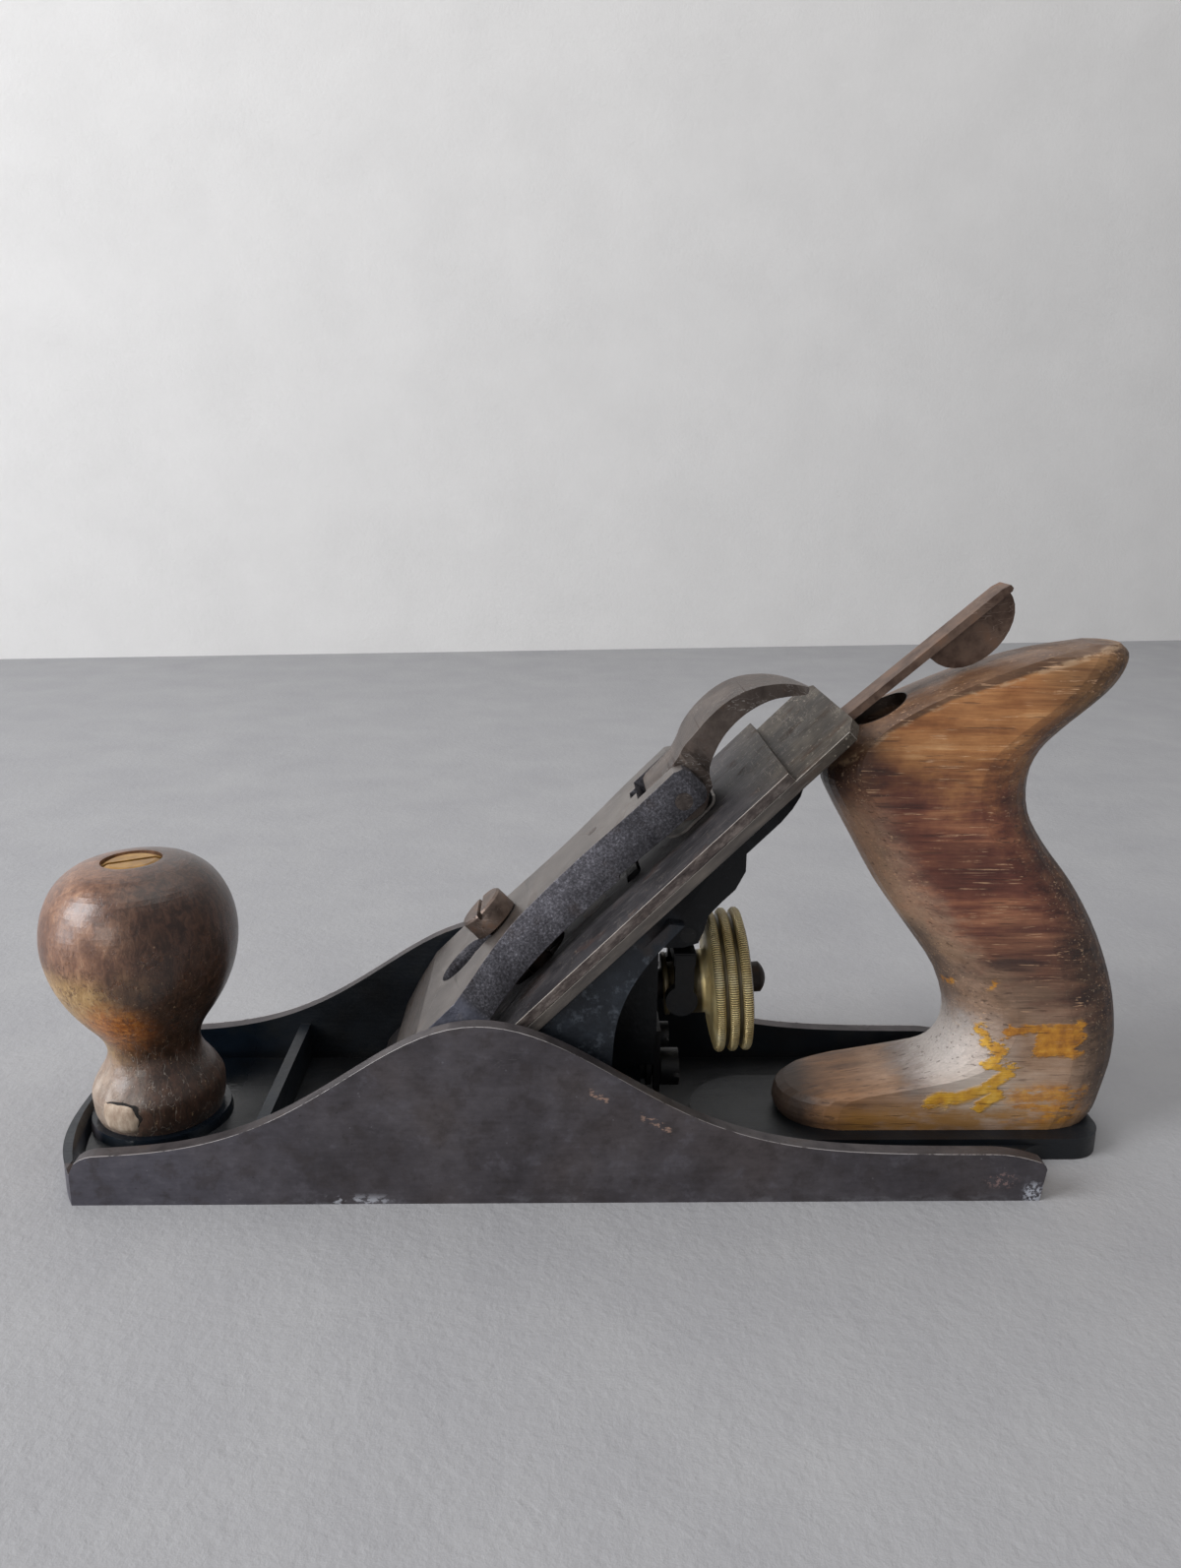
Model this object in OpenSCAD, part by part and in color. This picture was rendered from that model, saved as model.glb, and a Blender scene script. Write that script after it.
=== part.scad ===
/* [Sole and sides] */
// Width over the two machined sides
sole_w = 63.5; // [62:0.5:66]
// Length of the straight sides
side_len = 215; // [210:1:220]
// How far the round toe runs past the straight sides
toe_bulge = 8; // [6:0.5:10]
// How far the heel tongue runs past the straight sides
tail_len = 22.4; // [21:0.2:26]
// Width of the heel tongue and of the tote's seat
tail_w = 31; // [28:0.5:33]
// Thickness of the sole plate
floor_t = 4; // [3.5:0.25:4.5]
// Thickness of each side wall
cheek_t = 3.6; // [3:0.2:4.4]
// Height of the side walls at toe and heel
rim_h = 11.6; // [10:0.2:13]
// Height of the side walls beside the iron
hump_h = 42.8; // [38:0.2:46]
// Place of the highest point of the sides
hump_x = -18.3; // [-22:0.1:-14]
// Spread of the side's slope towards the toe
hump_front = 40; // [36:1:44]
// Spread of the side's slope towards the heel
hump_rear = 43.5; // [40:0.5:48]
// Height of the raised ring under the knob
boss_h = 6.3; // [5.5:0.1:7]
// Height of the seat under the tote
tote_seat_h = 5.5; // [5:0.1:6.5]
// Place of the stiffening rib in front of the mouth
rib_x = -68; // [-72:0.5:-66]
// Height of the stiffening rib
rib_h = 14; // [10:0.5:16]
// Thickness of the stiffening rib
rib_t = 2.6; // [2:0.2:3.4]

/* [Mouth and frog seat] */
// Where the slope of the iron meets the sole
mouth_x = -43.7; // [-45:0.1:-42.5]
// Width of the mouth
mouth_w = 55.6; // [55.2:0.1:56]
// Gap in the mouth in front of the cutting edge
mouth_gap = 2.3; // [2.2:0.1:3]
// Height of the front pad under the frog
front_pad_h = 9; // [8:0.25:10]
// Height of the rear pad under the frog
rear_pad_h = 14; // [13:0.25:15]
// Width over the pads under the frog
pad_w = 46; // [42:0.5:50]

/* [Frog] */
// Width of the frog's bed
frog_w = 49; // [47:0.5:52]
// Thickness of the frog's bed plate
frog_plate_t = 5; // [4:0.25:6]
// Thickness of the frog's side webs
frog_web_t = 3.6; // [3:0.2:4.2]
// Width of the frog's middle spine
spine_w = 18; // [17:0.5:20]
// Width of the frog's round top
lobe_w = 23; // [22:0.5:26]
// Distance along the slope to the frog's round top end
lobe_end = 133; // [132.4:0.2:135]
// How far the frog slides each way on its seat
frog_travel = 0.8; // [0.5:0.1:0.8]
// Distance between the two frog screws
frog_screw_span = 31; // [29:0.5:32]
// Shank diameter of the frog screws
frog_screw_d = 6; // [5:0.25:6.5]

/* [Iron] */
// Width of the blade and of its cap iron
iron_w = 50.8; // [48:0.2:52]
// Thickness of the blade
blade_t = 2.4; // [2:0.1:2.6]
// Length of the blade from the sole, along the slope
blade_len = 150; // [146:1:156]
// Width of the blade's long slot
blade_slot_w = 12.4; // [12.4:0.1:13]
// Angle that the blade's edge is ground to
bevel_angle = 25; // [22:1:30]
// Thickness of the cap iron
cap_iron_t = 2.3; // [2:0.1:2.5]
// Length of the cap iron
cap_iron_len = 133.7; // [130:0.5:136]
// Height of the hump at the foot of the cap iron
hump_rise = 4.6; // [4:0.1:4.8]
// Distance along the slope to the cap iron's screw
cap_screw_s = 77.5; // [77:0.1:78]

/* [Lever cap] */
// Width of the lever cap at its foot
lever_cap_w = 50; // [47:0.5:52]
// Width of the lever cap at its waist
waist_w = 19.4; // [18.8:0.2:24]
// Width of the lever cap at its top end
lever_top_w = 24.8; // [23.6:0.2:28]
// Distance along the slope to the lever cap's foot
lever_foot_s = 12.4; // [12:0.2:14]
// Distance along the slope to the lever cap's top end
lever_top_s = 117; // [116.4:0.2:117.6]
// Height of the lever cap's front face over the bed
face_h = 18.4; // [17.8:0.1:18.8]
// Distance along the slope to the lever cap's screw
lever_screw_s = 58.5; // [57:0.5:60]
// Diameter of the head of the lever cap's screw
lever_screw_head_d = 11.8; // [11:0.1:12.2]
// Height of the head of the lever cap's screw
lever_screw_head_h = 5.3; // [4:0.1:6]
// How far the lever cap slides up to come off its screw
key_travel = 13; // [12:0.25:14]

/* [Cam lever] */
// Distance from the lever cap's top end down to the cam's pin
cam_back = 5.5; // [5.2:0.1:6]
// Diameter of the cam's pin
cam_pin_d = 4; // [3:0.25:4.5]
// Radius of the cam
cam_r = 5.5; // [5.2:0.1:5.6]
// Throw of the cam from its pin
cam_throw = 0.8; // [0.6:0.1:1]
// Width of the cam between the lever cap's ears
cam_w = 14; // [12:0.5:14.4]
// Widest part of the finger lever
cam_lever_w = 20; // [18:0.5:22]
// Reach of the finger lever from its pin
cam_reach = 37; // [35:0.5:38]

/* [Depth adjuster] */
// Diameter of the knurled depth wheel
wheel_d = 34; // [32:0.2:36]
// Width of the wheel's knurled rim
rim_w = 9.4; // [9:0.2:10]
// Diameter of the wheel's hub
hub_d = 15; // [14.4:0.2:15.2]
// Width of the groove that the yoke rides in
groove_w = 5; // [4.8:0.1:5.2]
// Diameter of the stud that the wheel turns on
stud_d = 7.2; // [6.8:0.1:7.4]
// Tilt of the stud, up towards the heel
stud_tilt = 4.5; // [4:0.1:5]
// Diameter of the pin that the yoke rocks on
yoke_pin_d = 3.6; // [3:0.1:4]

/* [Lateral adjuster] */
// Width of the lateral lever's bar
bar_w = 7; // [6:0.2:7.6]
// Thickness of the lateral lever's bar
bar_t = 1.9; // [1.6:0.1:2]
// Distance along the slope to the end of the lateral lever
bar_end = 195; // [190:1:198]
// Diameter of the roller in the blade's slot
roller_d = 11.6; // [11:0.1:11.8]
// Distance from the lever's rivet to its roller
roller_arm = 13; // [12.6:0.1:13.4]

/* [Knob and tote] */
// Widest diameter of the knob
knob_d = 44; // [40:0.4:46]
// Height of the knob over its seat
knob_h = 63.2; // [58:0.4:68]
// Distance of the knob's axis from the end of the straight sides
knob_inset = 10.2; // [9.4:0.2:12]
// Lean of the knob and its rod towards the toe
knob_lean = 2; // [0:0.5:3]
// Diameter of the brass nuts
nut_d = 13.6; // [12:0.2:14]
// Diameter of the rods through knob and tote
rod_d = 6; // [5:0.25:6.5]
// Thickness of the tote
tote_t = 24; // [22:0.5:26]

/* [Hidden] */
$fn = 64;

// Directions and clearances
bed_angle = 45;
seat_gap = 0.05;
run_gap = 0.08;
part_gap = 0.3;
eps = 0.02;
c45 = cos(bed_angle);

// Places along the sole
toe_x = -side_len / 2;
heel_x = side_len / 2;
tail_x = heel_x + tail_len;
knob_x = toe_x + knob_inset;
toe_r = (pow(sole_w / 2, 2) + pow(toe_bulge, 2)) / (2 * toe_bulge);
inner_w = sole_w - 2 * cheek_t;
toe_rim_h = rim_h - 3.5;
toe_lip = 1.3;
ramp_back = 1.2;

// Heights over the bed of the stacked irons
blade_h0 = seat_gap;
blade_h1 = blade_h0 + blade_t;
cap_h0 = blade_h1 + seat_gap;
cap_h1 = cap_h0 + cap_iron_t;

// The cutting edge stands this far inside the mouth
edge_rise = 0.15;
edge_s = edge_rise / c45 - blade_h1;
cap_iron_s0 = edge_s + 1.2;
cap_iron_s1 = cap_iron_s0 + cap_iron_len;

// Frog seat, its adjusting screw and its bridge
seat_rear_x = 16.5;
pad_step_x = -20;
frog_foot_t = 5;
frog_screw_x = -8;
adj_z = 16.5;
adj_d = 6;
bridge_x0 = 6;
bridge_x1 = 19;
bridge_w = 13;
bridge_h = 20.5;
clip_x = 22.2;
clip_t = 1.5;

// Depth adjuster: yoke pivot, groove and stud
pivot = [29, 54.5];
groove_at = [27.8, 38.8];
stud_r = stud_d / 2;
hub_front = -3.8;
rim_start = 7;
rim_end = rim_start + rim_w;
finger_s = 90;
finger_t = 3;
finger_w = 7;

// Lateral adjuster
rivet_s = 127.5;
rivet_d = 4.4;
bar_top = -0.4;
roller_s = rivet_s - roller_arm;
tab_t = 1.8;

// Lever cap: screw, key hole and cam
head_h0 = face_h + part_gap;
head_r = lever_screw_head_d / 2;
screw_shank_d = 6.8;
hole_r = head_r + 0.5;
cam_h = 12;
cam_s = lever_top_s - cam_back;
ear_gap = cam_w / 2 + part_gap;
wall_t = 3;
web_t = 3.4;
lip_h = cap_h1 + hump_rise + 0.15;
knee_s = lever_foot_s + 21;
side_base_h = 8.3;
spring_t = 0.6;
spring_h0 = cap_h1 + 0.15;

// Puts a child drawn as [along the slope, across, height over the bed] in place
module on_bed() translate([mouth_x, 0, 0]) rotate([0, -bed_angle, 0]) children();

// Puts a child drawn along +Z of the stud's axis in place, with 0 at the groove
module on_stud() translate([groove_at[0], 0, groove_at[1]]) rotate([0, 90 - stud_tilt, 0]) children();

// Extrudes an outline drawn in X and Z to a width centred on the middle plane
module slab(width) rotate([90, 0, 0]) linear_extrude(width, center = true) children();

// Point of the bed's plane in X and Z
function bed_xz(s, h) = [mouth_x + (s - h) * c45, (s + h) * c45];

// Smooth curve through points, each piece cut into n steps
function spline_at(p, i, t) =
    let (a = p[max(i - 1, 0)], b = p[i], c = p[i + 1], d = p[min(i + 2, len(p) - 1)])
    0.5 * (2 * b + (c - a) * t + (2 * a - 5 * b + 4 * c - d) * t * t
        + (3 * b - a - 3 * c + d) * t * t * t);
function spline(p, n) = [
    for (i = [0:len(p) - 2], k = [0:n - 1]) spline_at(p, i, k / n), p[len(p) - 1]
];

// Height of the side walls at a place along the sole
function side_h(x) = rim_h + (hump_h - rim_h)
    * exp(-pow((x - hump_x) / (x < hump_x ? hump_front : hump_rear), 2));

// Drop of the side walls where they round off at toe and heel
function corner_drop(x, r) =
    let (d = max(0, abs(x) - (side_len / 2 - r))) r - sqrt(max(0, r * r - d * d));

// The side's long fall to its heel corner, and the draft of its end
heel_draft = 1;
function heel_drop(x) = 2.3 * pow(max(0, x - (heel_x - 12)) / 12, 2);

module side_outline() {
    steps = 90;
    corner_r = 6;
    polygon([
        [toe_x - toe_bulge - 1, 0],
        [toe_x - toe_bulge - 1, toe_rim_h],
        [toe_x - 1, toe_rim_h],
        for (i = [0:steps])
            let (u = i / steps, x = toe_x + side_len * (0.25 + 0.5 * u - 0.25 * cos(180 * u)))
            [x, side_h(x) - (x < 0 ? 0.7 * corner_drop(x, corner_r) : heel_drop(x))],
        [heel_x + heel_draft - 0.3, rim_h - 3],
        [heel_x + heel_draft, rim_h - 3.8],
        [heel_x, 0]
    ]);
}

module sole_plan() {
    steps = 40;
    polygon(concat(
        [for (i = [0:steps]) let (v = -1 + 2 * i / steps)
            [toe_x - toe_bulge * (1 - pow(abs(v), 2.7)), -v * sole_w / 2]],
        [[heel_x + heel_draft, -sole_w / 2], [heel_x + heel_draft, sole_w / 2]]
    ));
}

module tail_plan(grow = 0) {
    r = 8;
    hull() {
        translate([heel_x - 60, -tail_w / 2 - grow]) square([1, tail_w + 2 * grow]);
        for (side = [-1, 1])
            translate([tail_x - r, side * (tail_w / 2 - r)]) circle(r + grow);
    }
}

module base_casting() color("dimgray") {
    difference() {
        union() {
            difference() {
                intersection() {
                    linear_extrude(hump_h + 1) sole_plan();
                    slab(sole_w + 2) side_outline();
                }
                base_hollow();
            }
            tote_seat();
            knob_boss();
            translate([rib_x - rib_t / 2, -inner_w / 2 - eps, floor_t - eps])
                cube([rib_t, inner_w + 2 * eps, rib_h - floor_t]);
            frog_seat();
        }
        mouth_cut();
        for (side = [-1, 1])
            translate([frog_screw_x, side * frog_screw_span / 2, floor_t])
                cylinder(d = frog_screw_d + 2 * run_gap, h = rear_pad_h);
        translate([bridge_x0 - 2.5, 0, adj_z]) rotate([0, 90, 0])
            cylinder(d = adj_d + 2 * run_gap, h = bridge_x1 - bridge_x0 + 4);
        on_knob_rod() translate([0, 0, 1.6 - boss_h]) cylinder(d = rod_d, h = boss_h);
        on_tote_rod() translate([0, 0, -2]) cylinder(d = rod_d, h = 12);
    }
}

// Tray between the sides, with a sloped inner face round the toe
module base_hollow() {
    dish_r = toe_r - toe_lip;
    dish_fall = toe_rim_h - floor_t;
    translate([0, 0, floor_t]) {
        intersection() {
            translate([toe_x + toe_r - toe_bulge, 0, 0])
                cylinder(r1 = dish_r - 0.5 * dish_fall, r2 = dish_r, h = dish_fall + eps, $fn = 160);
            translate([toe_x - toe_bulge, -inner_w / 2, 0]) cube([60, inner_w, dish_fall + eps]);
        }
        translate([toe_x + 8, -inner_w / 2, 0]) cube([side_len, inner_w, hump_h]);
        translate([toe_x - toe_bulge, -inner_w / 2, dish_fall]) cube([30, inner_w, hump_h]);
    }
}

module tote_seat() {
    linear_extrude(tote_seat_h) tail_plan();
    translate([heel_x - 60, 0, 0]) cylinder(d = tail_w, h = tote_seat_h);
    // Fillets where the tongue leaves the plate
    fillet_r = 7;
    for (side = [-1, 1]) scale([1, side, 1])
        difference() {
            translate([heel_x - 1, tail_w / 2 - 1, 0]) cube([fillet_r + 1, fillet_r + 1, floor_t]);
            translate([heel_x + fillet_r, tail_w / 2 + fillet_r, -1]) cylinder(r = fillet_r, h = floor_t + 2);
        }
}

module knob_boss() {
    r = min(17.3, knob_x - toe_x + toe_bulge - 0.2);
    translate([knob_x, 0, 0]) cylinder(r1 = r, r2 = r - 1.2, h = boss_h, $fn = 96);
}

// Pads, guide rib and threaded bridge that carry the frog
module frog_seat() {
    slab(pad_w) polygon([
        [mouth_x, 0], [seat_rear_x + 3, 0], [seat_rear_x, rear_pad_h], [pad_step_x, rear_pad_h],
        [pad_step_x, front_pad_h], [mouth_x + front_pad_h, front_pad_h]
    ]);
    slab(bridge_w) polygon([
        [bridge_x0, 0], [bridge_x1, 0], [bridge_x1, bridge_h - 2],
        [bridge_x1 - 2, bridge_h], [bridge_x0 + 4, bridge_h], [bridge_x0, rear_pad_h]
    ]);
    // The sloping land behind the mouth runs right across the tray
    slab(inner_w + eps) polygon([[mouth_x, 0], [mouth_x + 14, 0], [mouth_x + 7, 7]]);
}

// Mouth: upright in front of the edge, sloped to the bed behind the blade
module mouth_cut() {
    front_x = bed_xz(edge_s, blade_h1)[0] - mouth_gap;
    ramp_x = mouth_x + ramp_back;
    slab(mouth_w) polygon([[front_x, -1], [ramp_x - 1, -1], [ramp_x + 20, 20], [front_x, 20]]);
}

// Points of the knob's side: share of the radius and share of the height
knob_shape = [
    [0.647, 0], [0.682, 0.035], [0.694, 0.08], [0.69, 0.122], [0.62, 0.172], [0.53, 0.22],
    [0.484, 0.265], [0.505, 0.315], [0.585, 0.366], [0.705, 0.422], [0.835, 0.494], [0.945, 0.586],
    [1, 0.688], [0.985, 0.78], [0.915, 0.86], [0.79, 0.93], [0.6, 0.98], [0.4, 0.998], [0.31, 1]
];

// Axis of the knob's rod, from the seat upwards
module on_knob_rod() translate([knob_x, 0, boss_h]) rotate([0, -knob_lean, 0]) children();

module knob() color("saddlebrown") difference() {
    on_knob_rod() difference() {
        rotate_extrude($fn = 96) polygon(concat(
            [[0, -1.5], [knob_shape[0][0] * knob_d / 2 - 0.3, -1.5]],
            [for (q = spline(knob_shape, 4)) [q[0] * knob_d / 2, q[1] * knob_h]], [[0, knob_h]]
        ));
        translate([0, 0, -2]) cylinder(d = rod_d + 2 * part_gap, h = knob_h + 3);
        translate([0, 0, knob_h - nut_depth]) cylinder(d = nut_d + 2 * run_gap, h = nut_depth + 1);
    }
    // The foot is cut flat to its seat
    translate([knob_x - knob_d, -knob_d, boss_h - 10]) cube([2 * knob_d, 2 * knob_d, 10]);
}

nut_depth = 7;
nut_bore_h = 5.5;

// Brass nut: slotted domed head on a plain barrel, bored from below for its rod
module round_nut() difference() {
    union() {
        translate([0, 0, run_gap]) cylinder(d = nut_d, h = nut_depth - 0.9);
        translate([0, 0, nut_depth - 0.9]) cylinder(d1 = nut_d, d2 = nut_d - 3, h = 0.7);
    }
    translate([0, 0, -1]) cylinder(d = rod_d + 2 * run_gap, h = nut_bore_h + 1);
    translate([-nut_d, -0.7, nut_depth - 1.6]) cube([2 * nut_d, 1.4, 3]);
}

module knob_nut() color("goldenrod")
    on_knob_rod() translate([0, 0, knob_h - nut_depth]) rotate(24) round_nut();

module knob_rod() color("gray") on_knob_rod() translate([0, 0, 1.6 - boss_h])
    cylinder(d = rod_d - 2 * run_gap, h = knob_h + boss_h - 1.6 - nut_depth + nut_bore_h - 0.5);

// Axis of the tote's rod, leaning forward from its foot
rod_foot = [tail_x - 17.9, 0, tote_seat_h];
rod_lean = 22;
tote_nut_z = 86;
module on_tote_rod() translate(rod_foot) rotate([0, -rod_lean, 0]) children();

// Tote: front and back of each cross-section, measured from the tongue's end
// and the seat, with half the thickness there
tote_front = [
    [-76.4, 0], [-77.7, 3], [-74.9, 7.7], [-60.4, 10.2], [-47.4, 12.6], [-39.6, 17.5], [-36.8, 25.5],
    [-40, 36.8], [-47.9, 48], [-56.1, 59.1], [-63.4, 71.5], [-68.6, 80.5], [-70.6, 85.5],
    [-69.6, 91], [-65.8, 96], [-59.9, 100.2], [-50.9, 104.8], [-39.4, 109.5], [-26.4, 113.6], [-13.4, 116.2]
];
tote_back = [
    [0.2, 0], [2, 3.5], [3.4, 9.5], [4.3, 14.5], [4.5, 18.5], [4.4, 23.3], [2.9, 32],
    [-0.1, 41.2], [-4.4, 50.5], [-10.4, 60], [-17.9, 69.4], [-22.6, 77.5], [-23.5, 85.8],
    [-21.4, 92], [-16.4, 97.5], [-10.4, 102.8], [-6.1, 107], [-3.8, 111], [-3.4, 114.2], [-5.4, 116.2]
];
tote_half = [
    0.95, 0.99, 1, 1, 1, 1, 1, 1, 1, 1, 1, 1, 1, 1, 0.98, 0.95, 0.9, 0.82, 0.68, 0.42
];
// Depth of the front rounding as a share of the half thickness: deep at the grip, shallow on the deck
tote_nose = [
    1.3, 1.3, 1.3, 1.3, 1.3, 1.3, 1.3, 1.3, 1.3, 1.25, 1.1, 0.85, 0.6, 0.46, 0.4, 0.38, 0.38, 0.38, 0.4, 0.4
];

// One cross-section: straight sides and rounded ends
function tote_ring(f, b, half, nose, n) =
    let (a = norm(b - f) / 2, mid = (f + b) / 2, u = (b - f) / norm(b - f))
    [for (k = [0:n - 1])
        let (t = 360 * (k + 0.5) / n, r = min(a, (cos(t) < 0 ? nose : 1.3) * half),
            crisp = cos(t) < 0 ? 1 + 0.8 * (1.3 - nose) : 1,
            e = sign(cos(t)) * (a - r + r * pow(abs(cos(t)), crisp)),
            v = half * sign(sin(t)) * pow(abs(sin(t)), 0.9))
        [tail_x + mid[0] + u[0] * e, v, tote_seat_h + mid[1] + u[1] * e]];

module tote_solid() {
    n = 28;
    cuts = 3;
    front = spline(tote_front, cuts);
    back = spline(tote_back, cuts);
    half = spline([for (i = [0:len(tote_half) - 1]) [tote_half[i], tote_nose[i]]], cuts);
    rings = [for (i = [0:len(front) - 1])
        tote_ring(front[i], back[i], half[i][0] * tote_t / 2, half[i][1], n)];
    last = len(rings) - 1;
    polyhedron(
        points = [for (ring = rings) each ring],
        faces = concat(
            [[for (k = [0:n - 1]) k]],
            [for (i = [0:last - 1], k = [0:n - 1])
                let (a = i * n + k, b = i * n + (k + 1) % n) each [[a, a + n, b], [b, a + n, b + n]]],
            [[for (k = [n - 1:-1:0]) last * n + k]]
        )
    );
}

module tote() color("peru") difference() {
    tote_solid();
    on_tote_rod() {
        translate([0, 0, -8]) cylinder(d = rod_d + 2 * part_gap, h = 150);
        translate([0, 0, tote_nut_z]) cylinder(d = nut_d + 2 * run_gap, h = 40);
    }
}

module tote_nut() color("goldenrod") on_tote_rod() translate([0, 0, tote_nut_z]) round_nut();

module tote_rod() color("gray") on_tote_rod() translate([0, 0, -2])
    cylinder(d = rod_d - 2 * run_gap, h = 2 + tote_nut_z + nut_bore_h - 0.5);

// Frog: bed plate seen square to the slope
shoulder_s = 90;
module frog_plan() {
    lobe_r = lobe_w / 2;
    polygon(concat(
        [for (q = frog_edge()) q],
        [for (t = [80:-20:-80]) [lobe_end - lobe_r + lobe_r * cos(t), lobe_r * sin(t)]],
        [for (i = [len(frog_edge()) - 1:-1:0]) [frog_edge()[i][0], -frog_edge()[i][1]]]
    ));
}
function frog_edge() = concat(
    [[frog_toe_s, frog_w / 2], [shoulder_s - 6, frog_w / 2]],
    [for (i = [1:8])
        let (t = i / 8) [shoulder_s - 6 + 22 * t,
            lobe_w / 2 + (frog_w - lobe_w) / 2 * (0.5 + 0.5 * cos(180 * t))]]
);
frog_toe_s = (front_pad_h + seat_gap) / c45;
table_h = bar_top - bar_t - 0.1;
foot_z = rear_pad_h + seat_gap;

module frog() color("#3a3d40") difference() {
    union() {
        intersection() {
            union() {
                on_bed() translate([0, 0, -frog_plate_t]) linear_extrude(frog_plate_t) frog_plan();
                on_bed() translate([100, 0, -7]) linear_extrude(7)
                    intersection() {
                        translate([-100, 0]) frog_plan();
                        translate([-12, -lobe_w / 2]) square([60, lobe_w]);
                    }
            }
            translate([-100, -50, front_pad_h + seat_gap]) cube([200, 100, 100]);
        }
        for (side = [-1, 1])
            translate([0, side * (frog_w - frog_web_t) / 2, 0]) slab(frog_web_t) web_outline();
        slab(frog_w) polygon([
            bed_xz((foot_z + frog_foot_t) / c45 + 2, -2), [11.2, foot_z + frog_foot_t], [11.2, foot_z],
            bed_xz(foot_z / c45 + 3, -3)
        ]);
        slab(spine_w) spine_outline();
    }
    frog_cuts();
}

// Side web: sloped front under the bed, hollow curve behind
module web_outline() {
    rear = spline([
        bed_xz(shoulder_s + 4, -frog_plate_t), [18.4, 53.6], [13.7, 45.1], [11.4, 34.8], [11.2, foot_z]
    ], 5);
    polygon(concat(
        [bed_xz(foot_z / c45 + frog_plate_t / 2, -frog_plate_t / 2)],
        [bed_xz(shoulder_s + 2, -frog_plate_t / 2)], rear
    ));
}

// Middle spine: carries the lever cap's screw, the yoke and the stud
module spine_outline() polygon([
    bed_xz(24, -1), bed_xz(113.4, -1), [41.6, 76.4], [41.6, 70], [39.4, 65.6], [36.4, 62.6],
    [33.4, 59.2], [32.5, 55.4], [31.4, 52.6], [28, 51.4], [22.3, 51.4], [22.3, 29.6], [22, 29],
    [22, bridge_h + 1.2], [4, bridge_h + 1.2], [1, 24], [-8, 24]
]);

module frog_cuts() {
    // Table let in for the lateral lever
    on_bed() translate([108, -40, table_h]) cube([60, 80, 20]);
    // Trough for the head of the cap iron's screw
    on_bed() translate([0, 0, -4.6]) linear_extrude(10) hull()
        for (s = [cap_screw_s - 1.4, cap_screw_s + 1.4]) translate([s, 0]) circle(7.6);
    // Slot for the yoke, from the bed to the wheel
    slab(2 * yoke_half + 2 * part_gap) polygon([
        bed_xz(finger_s - 3.2, 2), bed_xz(finger_s + 3.2, 2), bed_xz(finger_s + 3.6, -4),
        [pivot[0] + 3.6, pivot[1] + 5], [pivot[0] + 7, pivot[1]], [pivot[0] + 8, pivot[1] - 8],
        [pivot[0] - 12, pivot[1] - 8], [pivot[0] - 7, pivot[1] + 1], bed_xz(finger_s - 3.6, -5)
    ]);
    translate([pivot[0], 0, pivot[1]]) rotate([90, 0, 0])
        cylinder(d = yoke_pin_d, h = frog_w + 2, center = true);
    on_stud() translate([0, 0, -17]) cylinder(d = stud_d, h = 20);
    on_bed() translate([lever_screw_s, 0, -13]) cylinder(d = screw_shank_d, h = 20);
    on_bed() translate([rivet_s, 0, -12]) cylinder(d = rivet_d, h = 20);
    // Slots and wells for the frog screws
    for (side = [-1, 1]) translate([frog_screw_x, side * frog_screw_span / 2, 0]) {
        long_hole(frog_screw_d / 2 + 0.4, frog_travel + 0.3, 0, 30);
        long_hole(6.6, frog_travel + 0.3, foot_z + frog_foot_t, 80);
    }
    // Thread for the clip's screw
    translate([12, 0, clip_screw_z]) rotate([0, 90, 0]) cylinder(d = clip_screw_d, h = 12);
    // Room for the bridge on the seat
    translate([bridge_x0 - 4, -bridge_w / 2 - 0.8, 0])
        cube([40, bridge_w + 1.6, bridge_h + 1.2]);
}

module long_hole(r, reach, z0, z1) translate([0, 0, z0]) {
    for (x = [-reach, reach]) translate([x, 0, 0]) cylinder(r = r, h = z1 - z0);
    translate([-reach, -r, 0]) cube([2 * reach, 2 * r, z1 - z0]);
}

washer_t = 1;
module frog_washers() color("gray") for (side = [-1, 1])
    translate([frog_screw_x, side * frog_screw_span / 2, foot_z + frog_foot_t + seat_gap])
        difference() {
            cylinder(d = 11.2, h = washer_t);
            translate([0, 0, -1]) cylinder(d = frog_screw_d + 0.4, h = washer_t + 2);
        }

module frog_screws() color("dimgray") for (side = [-1, 1])
    translate([frog_screw_x, side * frog_screw_span / 2, 0]) {
        head_z = foot_z + frog_foot_t + washer_t + 2 * seat_gap;
        translate([0, 0, floor_t + 1]) cylinder(d = frog_screw_d, h = head_z - floor_t - 1 + eps);
        difference() {
            translate([0, 0, head_z]) cylinder(d = 9.6, h = 3.4);
            translate([-6, -0.6, head_z + 2]) cube([12, 1.2, 3]);
        }
    }

// Screw that moves the frog: thread, collar, neck for the clip, slotted head
module frog_adjusting_screw() color("gray") translate([0, 0, adj_z]) rotate([0, 90, 0])
    difference() {
        union() {
            translate([0, 0, 5.5]) cylinder(d = adj_d, h = 15.5);
            translate([0, 0, 20.6]) cylinder(d = 9, h = 1.2);
            translate([0, 0, 21]) cylinder(d = 4.4, h = 4);
            translate([0, 0, 24.1]) cylinder(d = 9, h = 4.4);
        }
        translate([-0.6, -6, 27]) cube([1.2, 12, 3]);
    }

clip_screw_z = 25.2;
clip_screw_d = 3.6;
module frog_clip() color("gray") difference() {
    translate([clip_x, -5.5, 12.6]) cube([clip_t, 11, 16]);
    translate([clip_x - 1, 0, clip_screw_z]) rotate([0, 90, 0]) cylinder(d = clip_screw_d + 0.3, h = 5);
    translate([clip_x - 1, 0, adj_z]) rotate([0, 90, 0]) cylinder(d = 4.9, h = 5);
    translate([clip_x - 1, -2.45, 10]) cube([5, 4.9, adj_z - 10]);
}

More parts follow.
